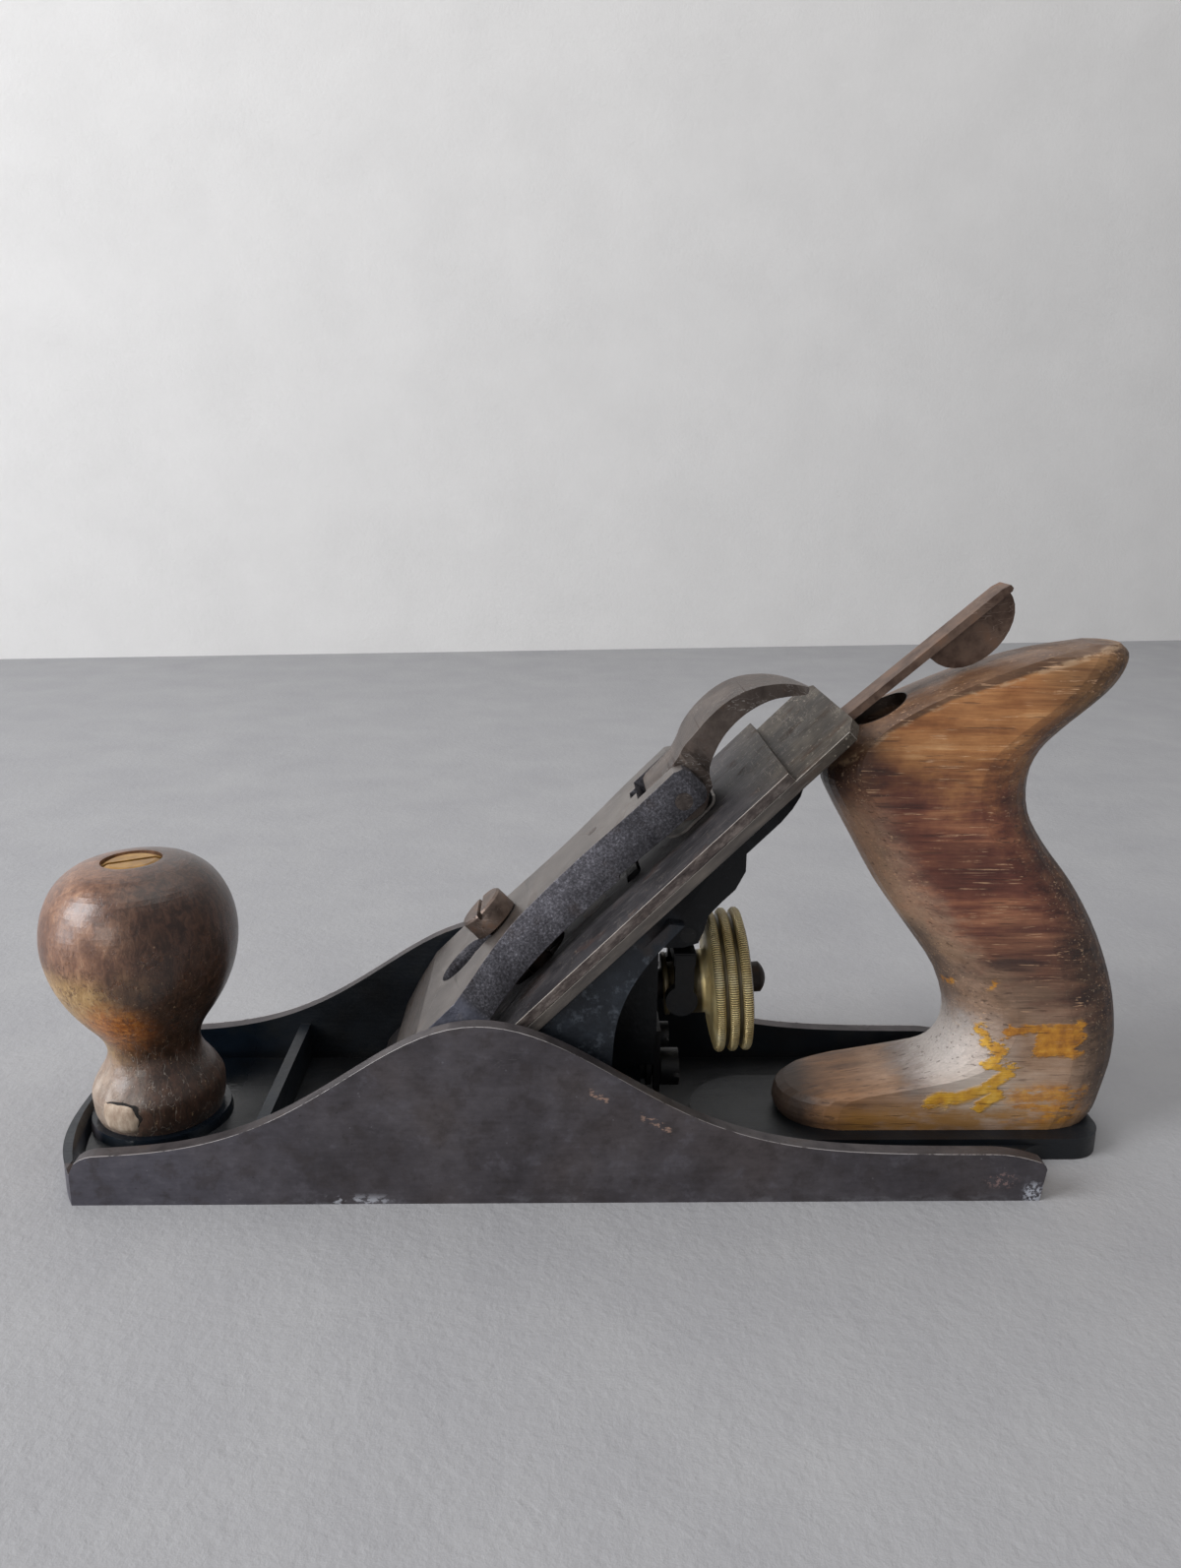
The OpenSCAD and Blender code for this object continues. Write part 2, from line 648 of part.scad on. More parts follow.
module frog_clip_screw() color("dimgray") translate([0, 0, clip_screw_z]) rotate([0, 90, 0])
    difference() {
        union() {
            translate([0, 0, 13]) cylinder(d = clip_screw_d, h = clip_x + clip_t - 13 + eps);
            translate([0, 0, clip_x + clip_t]) cylinder(d = 6, h = 2.2);
        }
        translate([-0.4, -4, clip_x + clip_t + 1.3]) cube([0.8, 8, 2]);
    }

module lever_cap_screw() color("dimgray") on_bed() translate([lever_screw_s, 0, 0]) difference() {
    union() {
        translate([0, 0, -12.8]) cylinder(d = screw_shank_d, h = 12.8 + head_h0 + eps);
        translate([0, 0, head_h0]) cylinder(r = head_r, h = lever_screw_head_h - 0.5);
        translate([0, 0, head_h0 + lever_screw_head_h - 0.5])
            cylinder(r1 = head_r, r2 = head_r - 0.5, h = 0.5);
    }
    translate([-0.6, -10, head_h0 + lever_screw_head_h - 1.6]) cube([1.2, 20, 3]);
}

module adjuster_stud() color("#3b3430") on_stud() {
    translate([0, 0, -16.5]) cylinder(d = stud_d, h = 16.5 + rim_end + 3.2);
    translate([0, 0, rim_end + 3.2]) intersection() {
        translate([0, 0, -3.6]) sphere(r = 5.1);
        cylinder(d = stud_d, h = 3);
    }
}

// Side of the wheel from the bore outwards: hub, groove and three ridges
module depth_wheel() color("goldenrod") on_stud() rotate_extrude($fn = 120) polygon(concat(
    [
        [stud_r + run_gap, hub_front], [hub_d / 2 - 0.5, hub_front], [hub_d / 2, hub_front + 0.4],
        [hub_d / 2, -groove_w / 2], [groove_r, -groove_w / 2], [groove_r, groove_w / 2],
        [hub_d / 2, groove_w / 2], [hub_d / 2, rim_start - 1], [hub_d / 2 + 1, rim_start],
        [wheel_d / 2 - 3.6, rim_start]
    ],
    [for (i = [0:2]) each ridge(rim_start + i * (rim_w / 3))],
    [
        [wheel_d / 2 - 3.2, rim_end], [wheel_d / 2 - 4.2, rim_end - 1.4], [hub_d / 2 + 0.6, rim_end - 1.4],
        [hub_d / 2 - 0.2, rim_end], [stud_r + run_gap, rim_end]
    ]
));
groove_r = stud_r + 1.4;
function ridge(z0) =
    let (w = rim_w / 3, r = wheel_d / 2) [
        [r - 1.5, z0 + 0.12 * w], [r - 0.45, z0 + 0.2 * w], [r, z0 + 0.36 * w], [r, z0 + 0.64 * w],
        [r - 0.45, z0 + 0.8 * w], [r - 1.5, z0 + 0.88 * w]
    ];

// Yoke: finger up through the irons, fork down to the wheel's groove
yoke_half = 2.9;
finger_half = 2.6;
arm_in = hub_d / 2 + part_gap + 0.2;
arm_out = arm_in + 2.8;
nub_w = 2.2;
module yoke() color("#45484a") difference() {
    union() {
        translate([pivot[0], 0, pivot[1]]) rotate([90, 0, 0])
            cylinder(r = 3.9, h = 2 * yoke_half, center = true);
        // Finger, narrow enough to stand in the cap iron's slot
        on_bed() translate([finger_s - finger_t / 2, -finger_half, -12.5])
            cube([finger_t, 2 * finger_half, 12.5 + cap_h1 + 0.6]);
        // Neck and crosspiece over the hub
        translate([pivot[0] - 3, -finger_half, 48]) cube([4.6, 2 * finger_half, 6]);
        translate([pivot[0] - 3.2, 0.3 - arm_out, 47.4]) cube([5, 2 * arm_out - 0.6, 3.2]);
        for (side = [-1, 1]) {
            translate([groove_at[0], side * (arm_in + arm_out) / 2, groove_at[1]]) rotate([90, 0, 0])
                cylinder(r = 3.7, h = arm_out - arm_in, center = true);
            translate([pivot[0] - 2.9, side * (arm_in + arm_out) / 2 - (arm_out - arm_in) / 2, 40])
                cube([4.4, arm_out - arm_in, 10.2]);
            // Round nub that rides in the groove
            translate([groove_at[0], side * (groove_r + part_gap), groove_at[1]])
                rotate([-90 * side, 0, 0]) cylinder(d = nub_w, h = arm_in - groove_r);
        }
    }
    translate([pivot[0], 0, pivot[1]]) rotate([90, 0, 0])
        cylinder(d = yoke_pin_d + 2 * run_gap, h = 20, center = true);
}

module yoke_pin() color("gray") translate([pivot[0], 0, pivot[1]]) rotate([90, 0, 0])
    cylinder(d = yoke_pin_d, h = spine_w, center = true);

// Lateral lever: bar on the frog's table, bent down to its finger tab
bar_bend_s = 134;
bar_end_h = -4.4;
module lateral_lever() color("#5a5450") on_bed() difference() {
    union() {
        translate([0, 0, bar_top - bar_t]) linear_extrude(bar_t) {
            hull() {
                translate([roller_s, 0]) circle(d = bar_w);
                translate([rivet_s, 0]) circle(d = bar_w + 1.6);
            }
            hull() {
                translate([rivet_s, 0]) circle(d = bar_w + 1.6);
                translate([bar_bend_s, 0]) square([0.1, bar_w], center = true);
            }
        }
        slab(bar_w) polygon([
            [bar_bend_s, bar_top - bar_t], [bar_bend_s, bar_top], [bar_end - 2, bar_end_h],
            [bar_end, bar_end_h - 0.6], [bar_end, bar_end_h - bar_t + 0.4], [bar_end - 0.6, bar_end_h - bar_t]
        ]);
        // Half-round finger tab under the end of the bar
        slab(tab_t) polygon(concat(
            [[bar_end - 1, bar_end_h - 1]],
            [for (t = [0:12:180]) [bar_end - 11.6 + 11 * cos(t), bar_end_h - bar_t - 0.2 - 8 * sin(t)]],
            [[bar_end - 23, bar_end_h - 0.4]]
        ));
        translate([roller_s, 0, bar_top - 0.1]) cylinder(d = roller_pin_d, h = blade_h1 - bar_top);
    }
    translate([rivet_s, 0, -10]) cylinder(d = rivet_d + 2 * run_gap, h = 20);
}
roller_pin_d = 4.4;

module lateral_roller() color("gray") on_bed() translate([roller_s, 0, bar_top + run_gap]) difference() {
    cylinder(d = roller_d, h = blade_h1 - bar_top - 2 * run_gap);
    translate([0, 0, -1]) cylinder(d = roller_pin_d + 2 * run_gap, h = 6);
}

module lateral_rivet() color("gray") on_bed() translate([rivet_s, 0, 0]) {
    translate([0, 0, -7]) cylinder(d = rivet_d, h = 7 + bar_top);
    translate([0, 0, bar_top + run_gap / 2]) cylinder(d1 = 6.2, d2 = 5.4, h = 0.3);
    translate([0, 0, bar_top - 0.1]) cylinder(d = rivet_d, h = 0.2);
}

// Foot of the cap iron, from its edge to the flat: height of the lower face
flat_s = cap_iron_s0 + 28;
function hump(s) = cap_h0 + hump_rise * sin(180 * pow((s - cap_iron_s0) / (flat_s - cap_iron_s0), 0.75));

cap_slot_w = 13;
module cap_iron() color("#6b6560") on_bed() difference() {
    slab(iron_w) polygon(concat(
        [for (i = [0:20]) let (s = cap_iron_s0 + (flat_s - cap_iron_s0) * i / 20) [s, hump(s)]],
        [[cap_iron_s1, cap_h0], [cap_iron_s1, cap_h1]],
        [for (i = [20:-1:1]) let (s = cap_iron_s0 + (flat_s - cap_iron_s0) * i / 20)
            [s - (i < 5 ? 0.25 * (5 - i) : 0), hump(s) + cap_iron_t * min(1, i / 5)]]
    ));
    // Slot for the lever cap's screw
    translate([lever_screw_s, 0, 0]) rotate(90)
        hull() for (x = [-1.5, 2.5]) translate([0, -x, -1]) cylinder(d = cap_slot_w, h = 20, $fn = 32);
    // Slot for the yoke's finger
    translate([finger_s - finger_t / 2 - 0.5, -finger_w / 2 - 1, -1]) cube([finger_t + 1, finger_w + 2, 20]);
    translate([cap_screw_s, 0, -1]) cylinder(d = cap_screw_d, h = 20);
}

cap_screw_d = 7.4;
module cap_iron_screw() color("dimgray") on_bed() translate([cap_screw_s, 0, 0]) difference() {
    union() {
        translate([0, 0, -0.2]) cylinder(d = cap_screw_d, h = cap_h1 + 0.2);
        translate([0, 0, -3.4]) cylinder(d = 14.4, h = 3.4 - 0.1 + seat_gap - 0.05);
        translate([0, 0, -3.9]) cylinder(d1 = 12.6, d2 = 14.4, h = 0.5 + eps);
    }
    translate([-0.7, -9, -5]) cube([1.4, 18, 2.6]);
}

module blade() color("#77706a") on_bed() difference() {
    translate([0, 0, 0]) intersection() {
        slab(iron_w) polygon([
            [edge_s, blade_h1], [edge_s + blade_t / tan(bevel_angle), blade_h0],
            [blade_len, blade_h0], [blade_len, blade_h1]
        ]);
        translate([0, 0, -1]) linear_extrude(6) blade_plan();
    }
    translate([0, 0, -1]) {
        translate([key_s, 0, 0]) cylinder(d = 18, h = 6);
        translate([key_s, -blade_slot_w / 2, 0]) cube([slot_end - key_s, blade_slot_w, 6]);
        translate([slot_end, 0, 0]) cylinder(d = blade_slot_w, h = 6);
    }
}
key_s = 38;
slot_end = 121;
clip_s = 5.5;
module blade_plan() polygon([
    [edge_s, -iron_w / 2], [blade_len - clip_s * 0.45, -iron_w / 2], [blade_len, -iron_w / 2 + clip_s],
    [blade_len, iron_w / 2 - clip_s], [blade_len - clip_s * 0.45, iron_w / 2], [edge_s, iron_w / 2]
]);

// Lever cap: half width along the slope, square foot sweeping in to a waist
function cap_half(s) =
    let (bend = lever_foot_s + 33.6, d = max(0, s - bend),
        grow = min(1, max(0, (s - 80) / 28)))
    waist_w / 2 + (lever_cap_w - waist_w) / 2 * exp(-pow(d / 10.2, 1.2))
        + (lever_top_w - waist_w) / 2 * (0.5 - 0.5 * cos(180 * grow));

module cap_plan(inset) {
    stations = concat(
        [lever_foot_s + inset, lever_foot_s + 33.6 + 0.4 * inset],
        [for (s = [lever_foot_s + 35.6:3:lever_top_s - inset - 3]) s],
        [lever_top_s - 2 - inset]
    );
    tip = [lever_top_s - inset, cap_half(lever_top_s) - 1.6 - inset];
    upper = concat([for (s = stations) [s, cap_half(s) - inset]], [tip]);
    polygon(concat(upper, [for (i = [len(upper) - 1:-1:0]) [upper[i][0], -upper[i][1]]]));
}

// Front face, foot and lower rim of the lever cap, seen from the side
module cap_side(drop) polygon([
    [lever_foot_s, lip_h + 0.5 - drop], [lever_foot_s + 5, lip_h + 3.2 - drop],
    [lever_foot_s + 12, lip_h + 5.5 - drop], [knee_s, face_h - 1 - drop], [knee_s + 18, face_h - 0.9 - drop],
    [knee_s + 30, face_h - 0.1 - drop], [knee_s + 34, face_h - drop], [lever_top_s - 2.6, face_h - drop],
    [lever_top_s - 0.8, face_h - 1 - drop], [lever_top_s, face_h - 3 - drop],
    [lever_top_s, side_base_h + 2.4], [lever_top_s - 0.8, side_base_h + 1], [lever_top_s - 2.4, side_base_h + 0.4],
    [lever_top_s - 28, side_base_h + 0.8], [lever_top_s - 28.4, side_base_h],
    [knee_s + 16, side_base_h + 0.4], [lever_foot_s + 8, lip_h], [lever_foot_s, lip_h]
]);

module lever_cap() color("silver") on_bed() difference() {
    intersection() {
        linear_extrude(40) cap_plan(0);
        slab(lever_cap_w + 2) cap_side(0);
    }
    // Hollow underneath, open towards the iron
    intersection() {
        linear_extrude(40) cap_plan(wall_t);
        slab(lever_cap_w) polygon([
            [lever_foot_s + 8, 0], [lever_foot_s + 8, lip_h + 0.6], [knee_s + 2, face_h - 1 - web_t],
            [knee_s + 18, face_h - 0.9 - web_t], [knee_s + 30, face_h - web_t],
            [lever_top_s - 22, face_h - web_t], [lever_top_s - 22, 0]
        ]);
    }
    key_hole();
    // Recess for the cam between the ears
    translate([lever_top_s - 24, -ear_gap, 0]) cube([30, 2 * ear_gap, face_h - web_t]);
    translate([cam_slot_s, -ear_gap, 0]) cube([30, 2 * ear_gap, 40]);
    translate([cam_slot_s - 1.8, -2.2, 0]) cube([4, 4.4, 40]);
    translate([cam_s, 0, cam_h]) rotate([90, 0, 0]) cylinder(d = cam_pin_d, h = 60, center = true);
    translate([spring_rivet_s, 0, 0]) cylinder(d = 2.6, h = 40);
}
cam_slot_s = cam_s - 7.6;
spring_rivet_s = 90;

// Wide hole below, narrow slot above, so that the cap lifts off its screw
module key_hole() {
    slot_w = screw_shank_d + 0.7;
    translate([lever_screw_s - key_travel, 0, 0]) cylinder(r = hole_r, h = 40);
    translate([lever_screw_s, 0, 0]) cylinder(d = slot_w, h = 40);
    translate([lever_screw_s - key_travel, -slot_w / 2, 0]) cube([key_travel, slot_w, 40]);
}

// Flat spring: riveted at its foot, bowed down to the cap iron, curled up at the end
spring_w = 13.4;
spring_line = [
    [86.5, face_h - web_t - 0.55], [93.2, face_h - web_t - 0.55], [96.5, face_h - web_t - 1.4],
    [100, 10.6], [103, spring_h0 + 1.6], [106, spring_h0 + 0.3], [109, spring_h0 + 0.3],
    [112.4, spring_h0 + 0.3], [114.6, spring_h0 + 0.5], [115.8, spring_h0 + 1], [116.5, spring_h0 + 1.8]
];
module lever_cap_spring() color("lightgray") on_bed() difference() {
    slab(spring_w) ribbon(spline(spring_line, 3), spring_t);
    translate([spring_rivet_s, 0, 0]) cylinder(d = 2.8, h = 40);
}

// Strip of even thickness along a line
module ribbon(line, t) {
    normals = [for (i = [0:len(line) - 1])
        let (d = line[min(i + 1, len(line) - 1)] - line[max(i - 1, 0)]) [-d[1], d[0]] / norm(d)];
    polygon(concat(
        [for (i = [0:len(line) - 1]) line[i] + normals[i] * t / 2],
        [for (i = [len(line) - 1:-1:0]) line[i] - normals[i] * t / 2]
    ));
}

module spring_rivet() color("gray") on_bed() translate([spring_rivet_s, 0, 0]) {
    translate([0, 0, face_h - web_t - 1.8]) cylinder(d = 2.6, h = web_t + 1.75);
    translate([0, 0, face_h - web_t - 1.8]) cylinder(d1 = 3.6, d2 = 4.6, h = 0.85);
}

module cam_pin() color("gray") on_bed() translate([cam_s, 0, cam_h]) rotate([90, 0, 0])
    cylinder(d = cam_pin_d, h = 2 * cap_half(cam_s), center = true);

// Finger lever: arched arm seen from the side, measured from its pin
arm_outer = [
    [2.6, 6.4], [5.4, 6.9], [10, 8.5], [16.6, 9.4], [22.5, 9], [27.5, 7.2], [32, 3.8], [35, 0.2], [37, -3.6]
];
arm_inner = [
    [37, -3.6], [35.4, -3.5], [32.5, -0.6], [28.5, 2.4], [23, 4.2], [17, 4.2], [12, 2.6], [8.4, 0], [6.4, -3.4]
];
arm_scale = cam_reach / 37;
module cam_lever() color("silver") on_bed() translate([cam_s, 0, cam_h]) difference() {
    union() {
        rotate([90, 0, 0]) translate([0, -cam_throw, 0]) cylinder(r = cam_r, h = cam_w, center = true);
        intersection() {
            slab(cam_lever_w) arm_outline();
            translate([0, 0, -20]) linear_extrude(60) arm_plan();
        }
    }
    rotate([90, 0, 0]) cylinder(d = cam_pin_d + 2 * run_gap, h = 60, center = true);
}
module arm_outline() polygon(concat(
    [[-5.9, -0.6], [-5.9, 4.8], [-5.3, 5.7], [-4, 6.2], [0, 6.3]],
    [for (q = spline(arm_outer, 4)) q * arm_scale],
    [for (q = spline(arm_inner, 4)) q * arm_scale],
    [[3, -4.6]]
));
// The arm is as narrow as the cam inside the ears, widens past them and ends in a round tip
module arm_plan() {
    half = spline([
        [-6.5, cam_w / 2], [0, cam_w / 2], [6.8, cam_w / 2], [8.6, cam_w / 2 + 0.8], [11, cam_lever_w / 2 - 0.6],
        [15, cam_lever_w / 2], [24, cam_lever_w / 2 - 0.6], [31, cam_lever_w / 2 - 2.6],
        [35, cam_lever_w / 2 - 5.4], [37, cam_lever_w / 2 - 9.2]
    ], 4);
    polygon(concat(
        [for (q = half) [q[0] * arm_scale, q[1]]],
        [for (i = [len(half) - 1:-1:0]) [half[i][0] * arm_scale, -half[i][1]]]
    ));
}

base_casting();
knob();
knob_rod();
knob_nut();
tote();
tote_rod();
tote_nut();
frog();
frog_screws();
frog_washers();
frog_adjusting_screw();
frog_clip();
frog_clip_screw();
lever_cap_screw();
adjuster_stud();
depth_wheel();
yoke();
yoke_pin();
lateral_lever();
lateral_roller();
lateral_rivet();
cap_iron();
cap_iron_screw();
blade();
lever_cap();
lever_cap_spring();
spring_rivet();
cam_pin();
cam_lever();
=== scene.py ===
import math

import bmesh
import bpy
from mathutils import Matrix, Vector, noise


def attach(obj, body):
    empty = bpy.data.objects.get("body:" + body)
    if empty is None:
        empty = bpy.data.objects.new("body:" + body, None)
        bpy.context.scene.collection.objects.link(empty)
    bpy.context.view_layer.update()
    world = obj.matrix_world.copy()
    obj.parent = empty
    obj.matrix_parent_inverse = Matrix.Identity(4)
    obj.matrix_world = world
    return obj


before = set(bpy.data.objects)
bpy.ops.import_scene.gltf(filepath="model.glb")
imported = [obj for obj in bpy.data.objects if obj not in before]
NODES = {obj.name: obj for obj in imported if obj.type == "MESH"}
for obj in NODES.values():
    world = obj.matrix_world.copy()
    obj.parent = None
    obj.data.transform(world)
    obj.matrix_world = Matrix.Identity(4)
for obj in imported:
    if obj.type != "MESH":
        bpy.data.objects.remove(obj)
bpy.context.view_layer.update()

MM = 0.001

# Places on the solids, in mm in the part's own frame, and angles in radians.
# Slope of the bed, and where it meets the sole
COS45 = math.sqrt(0.5)
MOUTH_X = -43.7
# Side walls: outer face, inner face and the ends of their straight part
SIDE_Y, WALL_IN_Y, SIDE_END = 31.75, 28.0, 107.5
# Half width of the two irons, and inner face of the frog's side webs
IRON_Y, FROG_IN_Y = 25.4, 20.0
# Lever cap: ends of its nose and of the ground band on its sides, along the slope
NOSE_END, BAND_END = 34.5, 48.6
# Depth wheel: x and z of its stud's foot, the stud's tilt, and the number of teeth on a ridge;
# radii of the ridges' flanks and of the groove's floor, and the rim's start along the stud
STUD, TEETH = (27.8, 38.8, math.radians(4.5)), 190.0
RIDGE_R, GROOVE_R, RIM_START = 16.0, 13.9, 6.9
# Knob: x of its axis, height of its seat, lean, largest radius and height
KNOB_X, KNOB_SEAT, KNOB_LEAN, KNOB_R, KNOB_H = -97.3, 6.3, math.radians(2.0), 22.0, 63.2
# Handle: x and z of its rod's foot, the rod's lean and the radius of the well for its nut
ROD_X, ROD_Z, ROD_LEAN, WELL_R = 112.0, 5.5, math.radians(22.0), 6.88

# Knob's outline from its foot up: radius and height as parts of the largest radius and the height
KNOB_OUTLINE = (
    (0.647, 0), (0.682, 0.035), (0.694, 0.08), (0.69, 0.122), (0.62, 0.172), (0.53, 0.22),
    (0.484, 0.265), (0.505, 0.315), (0.585, 0.366), (0.705, 0.422), (0.835, 0.494),
    (0.945, 0.586), (1, 0.688),
)

# Lines on the handle in side view, as (x, z) in mm
FRONT_EDGE = ((92, 36), (82, 53.5), (66.5, 77), (60, 90))
FRONT_HOLLOW = ((84, 19), (91, 24), (93, 31), (89.5, 42.5), (82, 53.5))
REAR_EDGE = (
    (130, 5), (134.4, 22), (132.8, 37.5), (125.5, 56), (112, 74.9), (106.4, 88), (110, 99.5),
    (119.5, 108.3), (127, 119),
)
REAR_LOW = ((133, 14), (131.5, 34), (124, 52))
ZIGZAG = ((99, 31), (103, 27.5), (102.5, 24), (106, 21), (102, 18), (104, 15.5), (100.5, 12.5))
SMEAR = ((88, 13.5), (94, 14.2), (100.5, 16.5))
# Crisp shoulder under the handle's top: the lowest of the lines z = height + rise * x
SHOULDER = ((41.9, 0.86), (65.3, 0.53), (82.2, 0.33), (87.3, 0.28))

# Stage in metres: half sizes of the floor; the wall's distance at x 0, its slant and half width,
# its foot just under the floor, and its top
FLOOR_X, FLOOR_Y = 2.5, 2.2
WALL_Y, WALL_SLANT, WALL_X, WALL_FOOT, WALL_TOP = 0.8, 0.16, 2.4, -0.01, 2.4

# Camera: angles in radians and place in metres, with the focal length and the longer side of the
# picture in pixels
PITCH, YAW, ROLL = 0.25987, 0.02850, -0.01188
EYE = (-0.00109, -0.26162, 0.15757)
FOCAL_PX, PICTURE_PX, SENSOR_MM = 1200.0, 1593.0, 36.0
NEAR, FAR = 0.01, 20.0

# Lights: name, place, target, size in metres, power in watts and colour
LIGHTS = (
    ("window", (-1.25, -0.45, 0.8), (0.0, 0.05, 0.05), (0.8, 0.8), 23.0, (0.98, 0.985, 1.0)),
    ("ceiling", (0.1, -0.2, 1.5), (0.0, 0.1, 0.0), (1.4, 1.0), 6.4, (1.0, 0.97, 0.93)),
    ("low_window", (-1.1, -0.32, 0.06), (-0.1, 0.0, 0.05), (0.45, 0.3), 2.4, (0.84, 0.92, 1.0)),
    ("backdrop_fill", (0.5, 0.6, 1.3), (0.5, 0.75, 0.0), (2.4, 0.6), 4.0, (1.0, 0.99, 0.97)),
    ("front_fill", (-0.55, -1.1, 0.42), (0.03, 0.0, 0.04), (0.5, 0.4), 3.0, (1.0, 0.97, 0.92)),
)
ROOM_TONE, ROOM_LIGHT = (0.93, 0.95, 1.0, 1.0), 0.27

# Rounded edges: width in mm for each piece that has them, segments, and the angle of an edge
EDGES = {
    "base_casting": 0.35, "frog": 0.3, "lever_cap": 0.35, "cam_lever": 0.4, "blade": 0.15,
    "cap_iron": 0.15, "lateral_lever": 0.25, "depth_wheel": 0.12, "lever_cap_screw": 0.2,
    "yoke": 0.25, "knob_nut": 0.1, "tote_nut": 0.1,
}
EDGE_SEGMENTS, EDGE_ANGLE, WELD_DISTANCE = 2, math.radians(32), 1e-6

# Broken sliver on the knob: grid of its patches, raggedness of their outline, how far their rim
# dips under the surface in mm, and the sliver's direction from the axis
PATCH_GRID, RAGGED, RIM_DIP, CHIP_ANGLE = (18, 12), 0.16, 0.25, math.radians(-108)

# Small steel pieces: material, dark, middle and rusty tone, roughness, size of the clouds in mm
# and metallic part; then the looks of oily and of plain screws
STEELS = {
    "lateral_lever": ("lateral_steel", (66, 48, 40), (112, 92, 80), (128, 96, 76), 0.46, 6, 0.55),
    "adjuster_stud": ("stud_steel", (22, 17, 16), (42, 34, 32), (58, 42, 34), 0.5, 4, 0.4),
    "lever_cap_screw":
        ("cap_screw_steel", (70, 58, 52), (112, 98, 90), (126, 92, 70), 0.42, 4, 0.75),
    "lever_cap_spring":
        ("spring_steel", (84, 80, 78), (140, 136, 132), (120, 100, 84), 0.36, 6, 0.8),
}
OILY = ("oily_steel", (9, 9, 11), (15, 15, 17), (20, 17, 16), 0.5, 3.5, 0.1)
PLAIN = ("screw_steel", (52, 46, 44), (92, 84, 80), (104, 76, 58), 0.45, 3.5, 0.7)


# Node building

